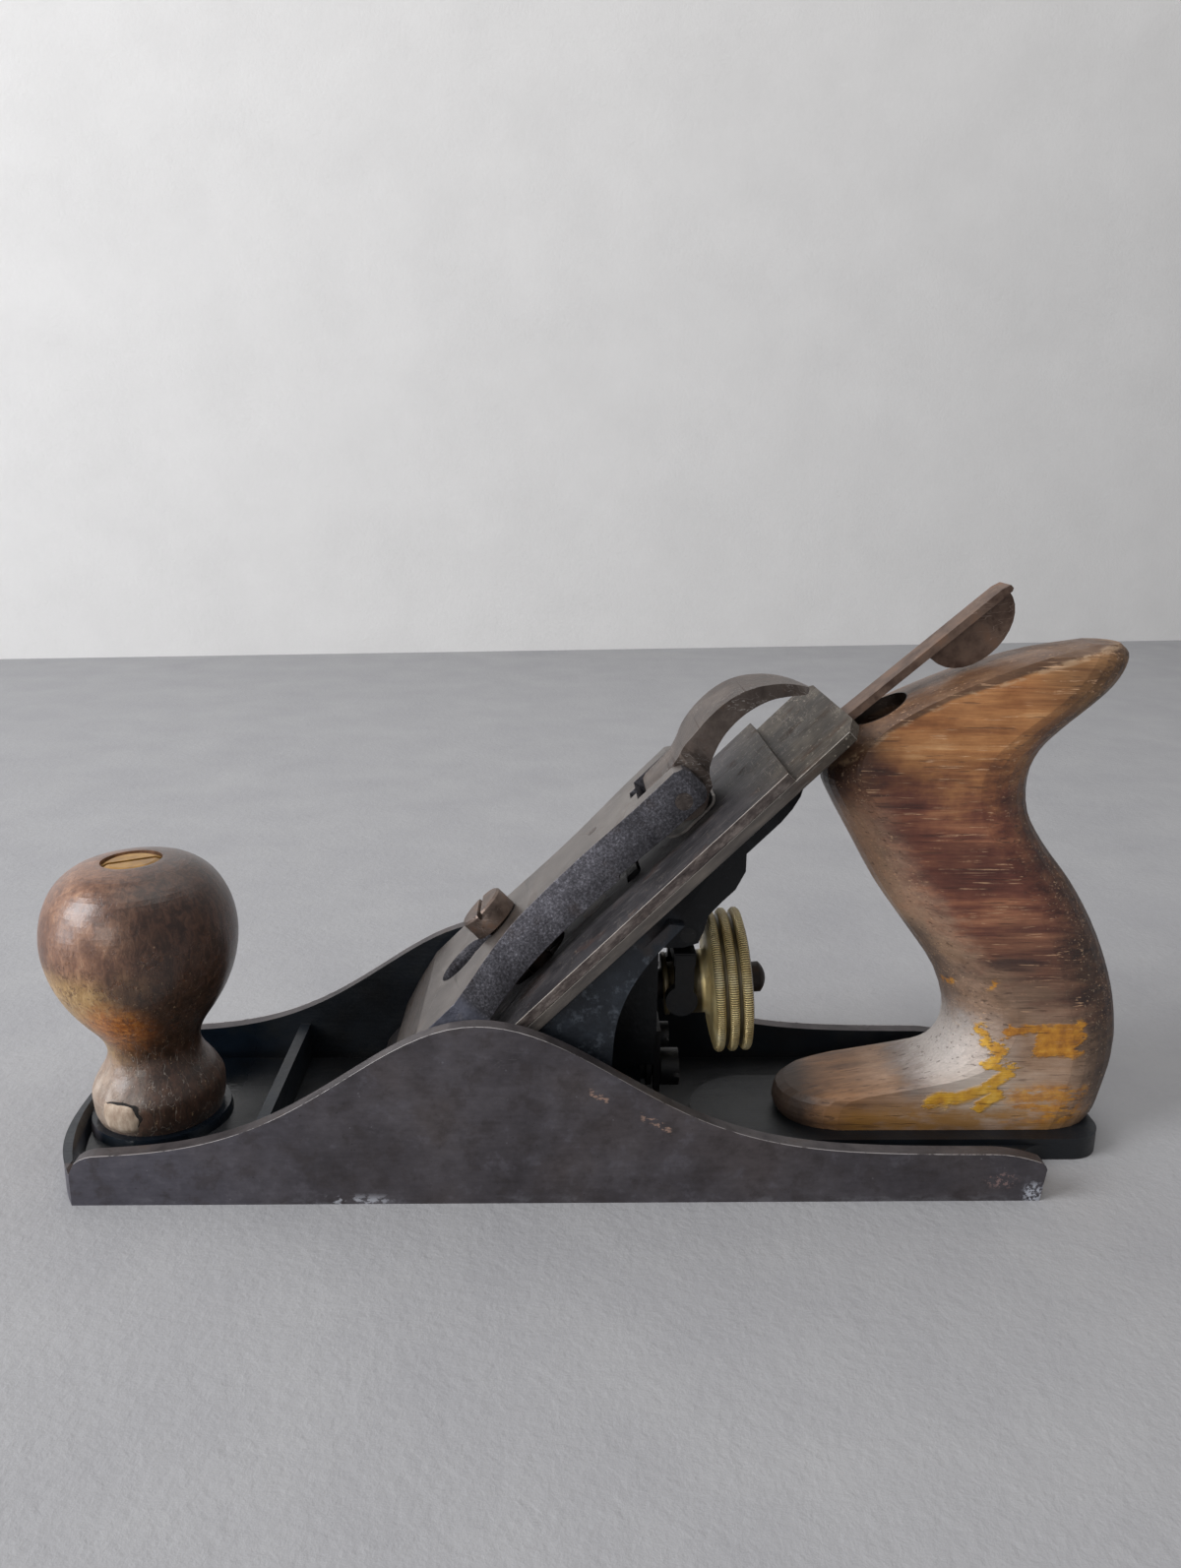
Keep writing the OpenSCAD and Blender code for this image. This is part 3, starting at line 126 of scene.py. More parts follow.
class Mat:
    """A material with one Principled shader and short calls for its nodes.

    Places and sizes of patterns are in mm, in the part's own frame. Masks run from 0 to 1.
    """

    def __init__(self, name):
        self.mat = bpy.data.materials.new(name)
        self.mat.use_nodes = True
        self.tree = self.mat.node_tree
        self.tree.nodes.clear()
        out = self.new("ShaderNodeOutputMaterial")
        self.bsdf = self.new("ShaderNodeBsdfPrincipled")
        self.tree.links.new(self.bsdf.outputs[0], out.inputs[0])
        self.mm = self.vec("SCALE", self.new("ShaderNodeTexCoord").outputs["Object"], scale=1 / MM)
        self.x, self.y, self.z = self.split(self.mm)
        self.ay = self.abs(self.y)
        normal = self.new("ShaderNodeNewGeometry").outputs["Normal"]
        self.nx, self.ny, self.nz = self.split(normal)

    def new(self, kind, **props):
        node = self.tree.nodes.new(kind)
        for key, value in props.items():
            setattr(node, key, value)
        return node

    def put(self, socket, value):
        """Links the socket to a node's output, or sets it to a value."""
        if isinstance(value, bpy.types.NodeSocket):
            self.tree.links.new(value, socket)
            return
        if hasattr(socket.default_value, "__len__"):
            length = len(socket.default_value)
            if not isinstance(value, (tuple, list)):
                value = (value,) * length
            if length == 4 and len(value) == 3:
                value = (*value, 1.0)
        socket.default_value = value

    def vec(self, op, a, b=None, scale=None):
        node = self.new("ShaderNodeVectorMath", operation=op)
        self.put(node.inputs[0], a)
        if b is not None:
            self.put(node.inputs[1], b)
        if scale is not None:
            self.put(node.inputs["Scale"], scale)
        return node.outputs[1] if op in ("DOT_PRODUCT", "LENGTH", "DISTANCE") else node.outputs[0]

    def split(self, v):
        node = self.new("ShaderNodeSeparateXYZ")
        self.put(node.inputs[0], v)
        return node.outputs[0], node.outputs[1], node.outputs[2]

    def join(self, x, y, z):
        node = self.new("ShaderNodeCombineXYZ")
        for socket, value in zip(node.inputs, (x, y, z)):
            self.put(socket, value)
        return node.outputs[0]

    def math(self, op, *values):
        node = self.new("ShaderNodeMath", operation=op)
        for socket, value in zip(node.inputs, values):
            self.put(socket, value)
        return node.outputs[0]

    def fold(self, op, values):
        total = values[0]
        for value in values[1:]:
            total = self.math(op, total, value)
        return total

    def add(self, *values):
        return self.fold("ADD", values)

    def mul(self, *values):
        return self.fold("MULTIPLY", values)

    def highest(self, *values):
        return self.fold("MAXIMUM", values)

    def lowest(self, *values):
        return self.fold("MINIMUM", values)

    def abs(self, value):
        return self.math("ABSOLUTE", value)

    def step(self, value, low, high):
        """0 below low, 1 above high, smooth between; low above high turns it round."""
        node = self.new("ShaderNodeMapRange", interpolation_type="SMOOTHSTEP")
        self.put(node.inputs[0], value)
        # Inputs 1 and 2 are the range that is read, 3 and 4 the range that is given
        node.inputs[1].default_value, node.inputs[2].default_value = sorted((low, high))
        if low > high:
            node.inputs[3].default_value, node.inputs[4].default_value = 1.0, 0.0
        return node.outputs[0]

    def band(self, value, low, high, soft):
        """1 between low and high, with soft borders."""
        rise = self.step(value, low - soft, low + soft)
        return self.mul(rise, self.step(value, high + soft, high - soft))

    def noise(self, size, detail=4.0, rough=0.55, stretch=None, vec=None, distort=0.0, shift=0.0):
        """Noise around 0.5 with features of about size mm; shift makes another pattern of it."""
        v = vec if vec is not None else self.mm
        if stretch:
            v = self.vec("MULTIPLY", v, stretch)
        if shift:
            v = self.vec("ADD", v, (shift, shift * 0.7, -shift))
        node = self.new("ShaderNodeTexNoise")
        settings = {
            "Vector": v, "Scale": 1.0 / size, "Detail": detail, "Roughness": rough,
            "Distortion": distort,
        }
        for key, value in settings.items():
            self.put(node.inputs[key], value)
        return node.outputs[0]

    def patches(self, low, high, *args, **kwargs):
        """A mask of noise: 0 where the noise is below low, 1 where it is above high."""
        return self.step(self.noise(*args, **kwargs), low, high)

    def tones(self, value, *stops):
        """Colours along value; each stop is its place and a screen colour."""
        node = self.new("ShaderNodeValToRGB")
        self.put(node.inputs[0], value)
        elements = node.color_ramp.elements
        while len(elements) < len(stops):
            elements.new(0.5)
        for element, (place, *rgb) in zip(elements, stops):
            element.position = place
            element.color = (*srgb(*rgb), 1.0)
        return node.outputs[0]

    def mix(self, fac, a, b):
        """Colour a where fac is 0, colour b where it is 1."""
        node = self.new("ShaderNodeMix", data_type="RGBA")
        for index, value in ((0, fac), (6, a), (7, b)):
            self.put(node.inputs[index], value)
        return node.outputs[2]

    def tint(self, color, tone, *masks):
        """The colour with a screen colour laid over it where all masks are 1."""
        return self.mix(self.mul(*masks), color, srgb(*tone))

    def lerp(self, fac, a, b):
        """Number a where fac is 0, number b where it is 1."""
        node = self.new("ShaderNodeMix", data_type="FLOAT")
        for index, value in ((0, fac), (2, a), (3, b)):
            self.put(node.inputs[index], value)
        return node.outputs[0]

    def shade(self, color, amount):
        """Colour times a factor."""
        return self.vec("SCALE", color, scale=amount)

    def stroke(self, points, width, soft, across, up):
        """A painted stroke through points (across, up): 1 on the stroke."""
        distances = []
        place = self.join(across, up, 0)
        for (x0, z0), (x1, z1) in zip(points, points[1:]):
            run = Vector((x1 - x0, z1 - z0, 0))
            from_start = self.vec("SUBTRACT", place, (x0, z0, 0))
            along = self.vec("DOT_PRODUCT", from_start, tuple(run))
            part = self.math("DIVIDE", along, run.length_squared)
            part = self.lowest(self.highest(part, 0.0), 1.0)
            foot = self.join(self.mul(part, run.x), self.mul(part, run.y), 0)
            distances.append(self.vec("DISTANCE", from_start, foot))
        return self.step(self.lowest(*distances), width + soft, width - soft)

    def blob(self, centre, radii, across, up, soft=0.5):
        """A soft round patch: 1 at its centre."""
        place = self.vec("SUBTRACT", self.join(across, up, 0), (*centre, 0))
        place = self.vec("MULTIPLY", place, (1 / radii[0], 1 / radii[1], 0))
        return self.step(self.vec("LENGTH", place), 1.0 + soft, 1.0 - soft)

    def scratches(self, width, density, stretch, vec=None, shift=0.0):
        """Thin broken lines along the stretched axis: 1 on a line."""
        lines = self.noise(width, 2.0, 0.5, stretch, vec, 0.3, shift)
        thin = self.step(self.abs(self.add(lines, -0.5)), 0.012, 0.0)
        low = 1.0 - density
        keep = self.patches(low, low + 0.05, width * 9, 2.0, 0.5, vec=vec, shift=shift + 31.0)
        return self.mul(thin, keep)

    def specks(self, size, amount, shift=0.0):
        """Small scattered dots: 1 in a dot."""
        cells = self.new("ShaderNodeTexVoronoi", feature="F1")
        place = self.vec("ADD", self.mm, (shift, -shift, shift * 0.5))
        self.put(cells.inputs["Vector"], place)
        cells.inputs["Scale"].default_value = 1.0 / size
        dots = self.step(cells.outputs["Distance"], 0.28, 0.16)
        low = 1.0 - amount
        keep = self.patches(low, low + 0.04, size * 2.2, 1.0, 0.5, shift=shift + 5.0)
        return self.mul(dots, keep)

    def bed(self):
        """Place along the slope, height over the bed, and these with y between them as a vector."""
        from_mouth = self.vec("SUBTRACT", self.mm, (MOUTH_X, 0, 0))
        along = self.vec("DOT_PRODUCT", from_mouth, (COS45, 0, COS45))
        over = self.vec("DOT_PRODUCT", from_mouth, (-COS45, 0, COS45))
        return along, over, self.join(along, self.y, over)

    def done(self, color, rough, metallic, height, bump, **sockets):
        """Fills the shader's inputs and gives the material; bump is in mm for a height of 1."""
        sockets.update({"Base_Color": color, "Roughness": rough, "Metallic": metallic})
        for key, value in sockets.items():
            self.put(self.bsdf.inputs[key.replace("_", " ")], value)
        node = self.new("ShaderNodeBump")
        node.inputs["Strength"].default_value = 1.0
        node.inputs["Distance"].default_value = bump * MM
        self.put(node.inputs["Height"], height)
        self.put(self.bsdf.inputs["Normal"], node.outputs[0])
        return self.mat


def srgb(r, g, b):
    """Screen colour, 0 to 255, turned to linear."""
    return tuple(
        c / 255.0 / 12.92 if c <= 10 else ((c / 255.0 + 0.055) / 1.055) ** 2.4 for c in (r, g, b)
    )


# Materials

def base_material():
    """Cast base: ground faces with a patina, dark enamel inside, rough top edges."""
    m = Mat("iron_base")
    # Ground faces: sides, toe, sole and the walls' ends; then the walls' rough top edges
    side = m.step(m.ay, SIDE_Y - 0.25, SIDE_Y - 0.07)
    wall = m.step(m.ay, WALL_IN_Y - 0.1, WALL_IN_Y + 0.1)
    toe_face = m.mul(
        m.step(m.x, 1.0 - SIDE_END, -SIDE_END), m.step(m.nx, -0.55, -0.8), m.step(m.z, 7.6, 7.2)
    )
    sole = m.step(m.z, 0.3, 0.1)
    end_face = m.mul(m.step(m.x, SIDE_END - 0.3, SIDE_END - 0.05), m.step(m.nx, 0.6, 0.8), wall)
    machined = m.highest(side, toe_face, sole, end_face)
    top = m.mul(wall, m.step(m.nz, 0.55, 0.75), m.step(m.z, 5.5, 6.5))
    # Machined sides: grey-brown patina with rust blooms, fine grinding lines and bright specks
    cloud = m.noise(17, 5, 0.6)
    fine = m.noise(1.6, 3, 0.6, (0.55, 1, 1))
    lines = m.noise(0.8, 2, 0.5, (0.05, 1, 1))
    patina = m.tones(
        cloud, (0.28, 66, 62, 65), (0.45, 77, 73, 77), (0.6, 87, 83, 87), (0.78, 80, 74, 74)
    )
    patina = m.tint(patina, (84, 72, 66), m.patches(0.5, 0.7, 34, 3, 0.5, shift=4), 0.35)
    # Painted bluish light towards the toe, and darker towards the heel
    patina = m.tint(patina, (92, 92, 104), m.step(m.x, -40, -95), 0.45)
    patina = m.tint(patina, (66, 63, 68), m.step(m.x, 20, 105), 0.3)
    mottle = m.noise(5.5, 5, 0.68, shift=71)
    patina = m.tint(patina, (62, 56, 56), m.step(mottle, 0.5, 0.64), 0.5)
    patina = m.tint(patina, (100, 97, 104), m.step(mottle, 0.46, 0.34), 0.45)
    patina = m.shade(patina, m.add(0.56, m.mul(fine, 0.62), m.mul(lines, 0.2)))
    patina = m.tint(patina, (132, 130, 136), m.specks(1.0, 0.3), 0.4)
    patina = m.tint(patina, (36, 33, 34), m.specks(0.8, 0.3, 57), 0.5)
    patina = m.tint(patina, (124, 84, 62), m.specks(1.8, 0.14, 17), 0.5)
    patina = m.tint(patina, (120, 117, 120), m.scratches(1.6, 0.35, (0.16, 1, 1)), 0.3)
    # Two gouges on one falling line, a rubbed lower edge, and bare spots along it
    gouge_line = m.step(m.abs(m.add(m.z, m.mul(m.x, 0.52), -30.5)), 1.3, 0.6)
    gouges = m.highest(m.band(m.x, 6.2, 10.2, 0.4), m.band(m.x, 17.5, 24, 0.5))
    broken = m.patches(0.5, 0.58, 0.9, 3, 0.7, (0.4, 1, 1), shift=8)
    patina = m.tint(patina, (170, 140, 124), gouges, broken, gouge_line, 0.8)
    low_rub = m.mul(m.step(m.z, 2.6, 0.4), m.patches(0.5, 0.62, 5, 4, 0.7, (0.5, 1, 1), shift=3))
    patina = m.tint(patina, (140, 140, 146), low_rub, 0.22)
    spot = m.mul(
        m.band(m.x, -52, -38, 3.5), m.step(m.z, 3.0, 0.6),
        m.patches(0.47, 0.55, 2.2, 4, 0.7, (0.6, 1, 1)), side
    )
    crumb = m.noise(0.9, 4, 0.75, shift=18)
    heel_spot = m.mul(m.blob((106, 1.8), (2.2, 2.6), m.x, m.z, 0.6), m.step(crumb, 0.44, 0.56))
    pink = m.mul(m.blob((98.5, 5.2), (3.4, 1.8), m.x, m.z, 0.5), m.step(crumb, 0.52, 0.6))
    patina = m.tint(patina, (186, 188, 196), spot, 0.85)
    patina = m.tint(patina, (206, 210, 220), heel_spot, 0.85)
    patina = m.tint(patina, (168, 138, 132), pink, 0.6)
    # Black enamel inside, with chips and a dusty film
    enamel = m.tones(
        m.noise(12, 4, 0.6, shift=2), (0.3, 13, 18, 24), (0.55, 20, 29, 39), (0.75, 34, 38, 40)
    )
    dusty = m.mul(
        m.patches(0.55, 0.68, 5, 5, 0.7, shift=6), m.step(m.z, 9, 4.3), m.step(m.nz, 0.6, 0.9)
    )
    enamel = m.tint(enamel, (70, 62, 48), dusty, 0.35)
    enamel = m.tint(enamel, (96, 100, 104), m.specks(1.1, 0.22, 8), 0.4)
    # Deep shadow between the walls and on the tray's floor
    deep = m.mul(m.band(m.x, -62, 66, 12), m.step(m.ay, WALL_IN_Y + 1.0, WALL_IN_Y - 0.5))
    enamel = m.shade(enamel, m.mul(m.lerp(deep, 0.8, 0.42), m.lerp(m.step(m.z, 7, 4.4), 1.0, 0.4)))
    # Rough top edges of the walls
    edge_tone = m.tones(
        m.noise(7, 4, 0.6, shift=12), (0.3, 60, 56, 58), (0.6, 88, 83, 84), (0.8, 78, 66, 58)
    )
    edge_tone = m.tint(edge_tone, (60, 50, 44), m.specks(1.5, 0.4, 21), 0.5)
    color = m.mix(machined, enamel, patina)
    color = m.mix(top, color, edge_tone)
    # Bright worn line where the side meets its top edge
    worn = m.mul(
        m.step(m.ay, SIDE_Y - 0.4, SIDE_Y - 0.15), m.step(m.nz, 0.12, 0.5),
        m.patches(0.36, 0.5, 3, 4, 0.7, shift=14)
    )
    color = m.tint(color, (190, 186, 186), worn, 0.8)
    # The enamel is glossy at the toe, dull in the tray
    toe_gloss = m.step(m.x, -74, -86)
    tray = m.add(0.3, m.mul(m.noise(8, 3, 0.6), 0.3))
    tray = m.lerp(toe_gloss, tray, m.add(0.12, m.mul(cloud, 0.16)))
    rough = m.lerp(machined, tray, m.add(0.42, m.mul(cloud, 0.22)))
    rough = m.lerp(top, rough, 0.5)
    metal = m.mul(m.highest(machined, top), 0.55)
    height = m.add(
        m.mul(fine, 0.5), m.mul(lines, 0.35), m.mul(m.specks(1.5, 0.25, 40), -0.6),
        m.mul(m.noise(4, 4, 0.6), m.lerp(machined, 1.2, 0.25))
    )
    return m.done(color, rough, metal, height, 0.09, Specular_IOR_Level=0.5)


def frog_material(name, base, worn_tone, amount):
    """Frog and yoke enamel, worn by the given amount, with painted shade in the frog's hollow."""
    m = Mat(name)
    cloud = m.noise(9, 5, 0.62, shift=3)
    color = m.tones(cloud, (0.3, *base), (0.52, *(c + 10 for c in base)), (0.7, 40, 46, 54))
    color = m.tint(color, worn_tone, m.patches(0.54, 0.7, 3.4, 5, 0.72, shift=8), amount)
    color = m.tint(color, (110, 114, 120), m.specks(0.9, 0.25, 5), 0.35)
    color = m.tint(color, (54, 44, 38), m.patches(0.56, 0.7, 11, 4, 0.6, shift=23), 0.35)
    # Painted shade in the frog's hollow, between its side webs
    color = m.tint(color, (7, 8, 10), m.step(m.ay, FROG_IN_Y, FROG_IN_Y - 1.5), 0.82)
    height = m.add(m.noise(2.2, 4, 0.6), m.mul(m.noise(0.7, 2, 0.5), 0.4))
    return m.done(color, m.add(0.34, m.mul(cloud, 0.3)), 0.1, height, 0.16, Specular_IOR_Level=0.35)


def steel_material(name, dark, mid, rust, rough, size, metal):
    """Steel in clouds of three tones, with specks and scratches; size is that of the clouds."""
    m = Mat(name)
    cloud = m.noise(size, 5, 0.62)
    color = m.tones(cloud, (0.3, *dark), (0.55, *mid), (0.78, *rust))
    color = m.tint(color, dark, m.specks(size * 0.35, 0.4, 3), 0.5)
    color = m.tint(color, [c + 60 for c in mid], m.scratches(size * 0.4, 0.5, (0.3, 1, 1)), 0.4)
    height = m.add(m.noise(0.7, 3, 0.6), m.mul(m.noise(size * 0.4, 3, 0.6), 0.8))
    return m.done(color, m.add(rough - 0.1, m.mul(cloud, 0.3)), metal, height, 0.05)


def iron_material(name, is_cap_iron):
    """Dark tool steel: rust, scratches, bright worn edges, and bare stained patches at the top."""
    m = Mat(name)
    s, _, v = m.bed()
    cloud = m.noise(13, 5, 0.62, vec=v)
    color = m.tones(
        cloud, (0.28, 40, 38, 41), (0.48, 56, 54, 57), (0.64, 76, 73, 75), (0.8, 74, 62, 56)
    )
    # Towards the top, bare stained steel; then rust, scratches and specks
    top = m.mul(m.step(s, 118, 138), 0.85)
    pale = m.tones(
        m.noise(6, 5, 0.65, vec=v, shift=5), (0.3, 48, 42, 35), (0.5, 70, 62, 52),
        (0.66, 94, 86, 74), (0.8, 78, 60, 46)
    )
    color = m.mix(top, color, pale)
    rust = m.patches(0.54, 0.7, 7, 5, 0.7, (0.6, 1, 1), v, shift=11)
    color = m.tint(color, (84, 58, 44), rust, 0.35)
    color = m.tint(color, (150, 144, 140), m.scratches(1.6, 0.6, (0.1, 1, 1), v), 0.4)
    across = m.scratches(1.3, 0.5, (1, 0.12, 1), v, 44)
    color = m.tint(color, (176, 164, 150), across, m.lerp(top, 0.2, 0.6))
    color = m.tint(color, (46, 36, 32), m.specks(1.5, 0.3, 9), 0.5)
    color = m.tint(color, (158, 148, 132), m.specks(1.2, 0.5, 29), top, 0.7)
    # Side edges: the cap iron's rough and brown with a bright upper corner, the iron's smooth grey
    side = m.mul(m.step(m.abs(m.ny), 0.5, 0.8), m.step(s, 150, 120))
    if is_cap_iron:
        flank = m.tones(
            m.noise(1.8, 5, 0.72, (0.4, 1, 1), v, shift=2), (0.32, 50, 42, 40), (0.5, 92, 82, 78),
            (0.66, 134, 124, 118), (0.8, 96, 74, 60)
        )
    else:
        flank = m.tones(
            m.noise(3, 4, 0.6, (0.2, 1, 1), v, shift=2), (0.32, 70, 66, 64), (0.55, 98, 92, 87),
            (0.75, 122, 114, 106)
        )
    color = m.mix(m.mul(side, 0.85), color, flank)
    corner = m.mul(
        m.step(m.ay, IRON_Y - 0.35, IRON_Y - 0.1), m.step(m.abs(m.ny), 0.85, 0.5),
        m.patches(0.34, 0.5, 3, 4, 0.7, (0.3, 1, 1), v, shift=33)
    )
    color = m.tint(color, (186, 180, 172), corner, 0.75)
    height = m.add(
        m.mul(m.noise(1.1, 4, 0.6, vec=v), m.lerp(side, 0.7, 1.6 if is_cap_iron else 0.5)),
        m.mul(m.noise(0.8, 2, 0.5, (0.06, 1, 1), v), 0.5), m.mul(rust, 0.4)
    )
    return m.done(color, m.add(0.36, m.mul(cloud, 0.26), m.mul(rust, 0.2)), 0.6, height, 0.08)


def lever_cap_material():
    """Lever cap: plated face, cast sides with a ground band, rusty nose."""
    m = Mat("lever_cap_plate")
    s, h, v = m.bed()
    # How far a face looks away from the bed
    up = m.add(m.mul(m.nx, -COS45), m.mul(m.nz, COS45))
    face = m.step(up, 0.75, 0.9)
    nose = m.step(s, NOSE_END, NOSE_END - 1.7)
    # Face: worn plating, dull brown grey and spotted
    cloud = m.noise(12, 5, 0.6, vec=v)
    plate = m.tones(cloud, (0.3, 92, 86, 82), (0.5, 116, 109, 105), (0.72, 136, 130, 125))
    plate = m.tint(plate, (112, 98, 88), m.patches(0.54, 0.68, 5, 5, 0.7, vec=v, shift=3), 0.5)
    plate = m.tint(plate, (178, 173, 168), m.scratches(1.2, 0.5, (0.12, 1, 1), v), 0.3)
    # Sides: rough grey casting, with painted sparkle in the brightest grit
    grit = m.noise(0.55, 3, 0.7, vec=v, shift=6)
    grain = m.add(m.mul(m.noise(5, 4, 0.6, vec=v, shift=6), 0.22), m.mul(grit, 0.56), 0.11)
    cast = m.tones(
        grain, (0.36, 52, 51, 55), (0.5, 88, 87, 93), (0.6, 126, 125, 133), (0.68, 186, 186, 194)
    )
    cast = m.tint(cast, (78, 64, 56), m.patches(0.55, 0.7, 9, 4, 0.6, vec=v, shift=13), 0.3)
    # Painted sheen along the middle of the sides, painted shade low over the bed and near the top
    painted_sheen = m.lerp(m.band(s, 60, 92, 14), 0.9, 1.4)
    light = m.mul(m.lerp(m.step(h, 9, 17), 0.6, 1.2), m.lerp(m.step(s, 100, 60), 0.75, 1.05))
    cast = m.shade(cast, m.mul(light, painted_sheen))
    # Ground band at the lower end of the side
    band = m.mul(m.step(s, BAND_END, BAND_END - 2.0), m.step(m.ay, 20, 23))
    ground = m.tones(
        m.noise(6, 4, 0.6, vec=v, shift=5), (0.3, 84, 86, 98), (0.6, 118, 120, 134),
        (0.8, 134, 130, 134)
    )
    ground = m.shade(ground, m.add(0.85, m.mul(m.noise(0.7, 2, 0.5, (1, 0.05, 1), v), 0.3)))
    # Rusty nose, then all the parts together, with painted shade on the underside
    rusty = m.tones(
        m.noise(2.2, 5, 0.7, (1, 0.25, 1), v, shift=15), (0.3, 62, 57, 55), (0.52, 98, 92, 89),
        (0.7, 86, 72, 62)
    )
    color = m.mix(face, cast, plate)
    color = m.mix(m.mul(band, m.step(up, 0.8, 0.6)), color, ground)
    color = m.mix(m.mul(nose, m.step(up, 0.3, 0.5)), color, rusty)
    # Painted shade on the faces that look towards the bed
    color = m.tint(color, (46, 40, 38), m.step(up, -0.2, -0.5), 0.8)
    rough = m.lerp(face, m.add(0.3, m.mul(grit, 0.2)), m.add(0.26, m.mul(cloud, 0.22)))
    rough = m.lerp(nose, rough, 0.5)
    metal = m.lerp(face, 0.5, 0.85)
    height = m.add(
        m.mul(m.noise(0.9, 4, 0.65, vec=v), m.lerp(face, 1.6, 0.3)),
        m.mul(m.noise(0.6, 2, 0.5, (1, 0.06, 1), v), m.mul(nose, 1.2))
    )
    return m.done(color, rough, metal, height, 0.11)


def cam_material():
    """Cam lever: worn plating over brown steel."""
    m = Mat("cam_lever_plate")
    cloud = m.noise(8, 5, 0.6)
    color = m.tones(cloud, (0.3, 68, 59, 55), (0.52, 97, 87, 81), (0.75, 128, 118, 111))
    color = m.tint(color, (98, 80, 70), m.patches(0.54, 0.66, 4, 5, 0.7, shift=3), 0.45)
    color = m.tint(color, (206, 200, 194), m.scratches(1.4, 0.5, (0.3, 1, 1)), 0.5)
    color = m.tint(color, (78, 64, 54), m.specks(1.2, 0.4, 4), 0.5)
    height = m.add(m.noise(1.2, 4, 0.65), m.mul(m.noise(0.6, 2), 0.3))
    return m.done(color, m.add(0.3, m.mul(cloud, 0.25)), 0.8, height, 0.08)


def brass_material(name, knurled):
    """Brass: dull on the nuts, bright on the knurled wheel, painted shade in its groove and hub."""
    m = Mat(name)
    cloud = m.noise(6, 5, 0.6)
    if knurled:
        foot_x, foot_z, tilt = STUD
        rel = m.vec("SUBTRACT", m.mm, (foot_x, 0, foot_z))
        along = m.vec("DOT_PRODUCT", rel, (math.cos(tilt), 0, math.sin(tilt)))
        up = m.vec("DOT_PRODUCT", rel, (-math.sin(tilt), 0, math.cos(tilt)))
        angle = m.math("ARCTAN2", m.y, up)
        radius = m.math("SQRT", m.add(m.mul(m.y, m.y), m.mul(up, up)))
        teeth = m.math("SINE", m.mul(angle, TEETH))
        # Dark lines between teeth; painted shade in the groove and on the hub
        rim = m.step(radius, RIDGE_R - 0.3, RIDGE_R + 0.3)
        rim = m.mul(rim, m.step(along, RIM_START - 0.1, RIM_START + 0.1))
        tooth_lines = m.mul(m.step(teeth, 0.1, -0.7), rim)
        groove = m.mul(
            m.step(radius, RIDGE_R + 0.2, RIDGE_R - 0.5),
            m.step(radius, GROOVE_R - 0.5, GROOVE_R + 0.5),
            m.step(along, RIM_START + 0.4, RIM_START + 0.7)
        )
        hub_shade = m.mul(m.step(along, 5.8, 4.8), m.step(radius, 13.5, 12))
        color = m.tones(cloud, (0.3, 206, 180, 120), (0.52, 238, 218, 160), (0.75, 250, 238, 196))
    else:
        color = m.tones(cloud, (0.3, 126, 92, 44), (0.52, 160, 120, 60), (0.75, 186, 148, 88))
    color = m.tint(color, (128, 102, 66), m.patches(0.56, 0.72, 4, 4, 0.7, shift=4), 0.4)
    color = m.tint(color, (96, 76, 50), m.specks(1.0, 0.25, 6), 0.4)
    height = m.mul(m.noise(0.8, 3, 0.6), 0.3)
    if knurled:
        color = m.tint(color, (62, 46, 28), tooth_lines, 0.85)
        # Painted shade in the groove and on the hub
        color = m.tint(color, (36, 27, 18), groove, 0.92)
        color = m.tint(color, (40, 32, 22), hub_shade, 0.9)
        height = m.add(height, m.mul(teeth, rim, 1.2))
    return m.done(color, m.add(0.28, m.mul(cloud, 0.22)), 0.42, height, 0.12)


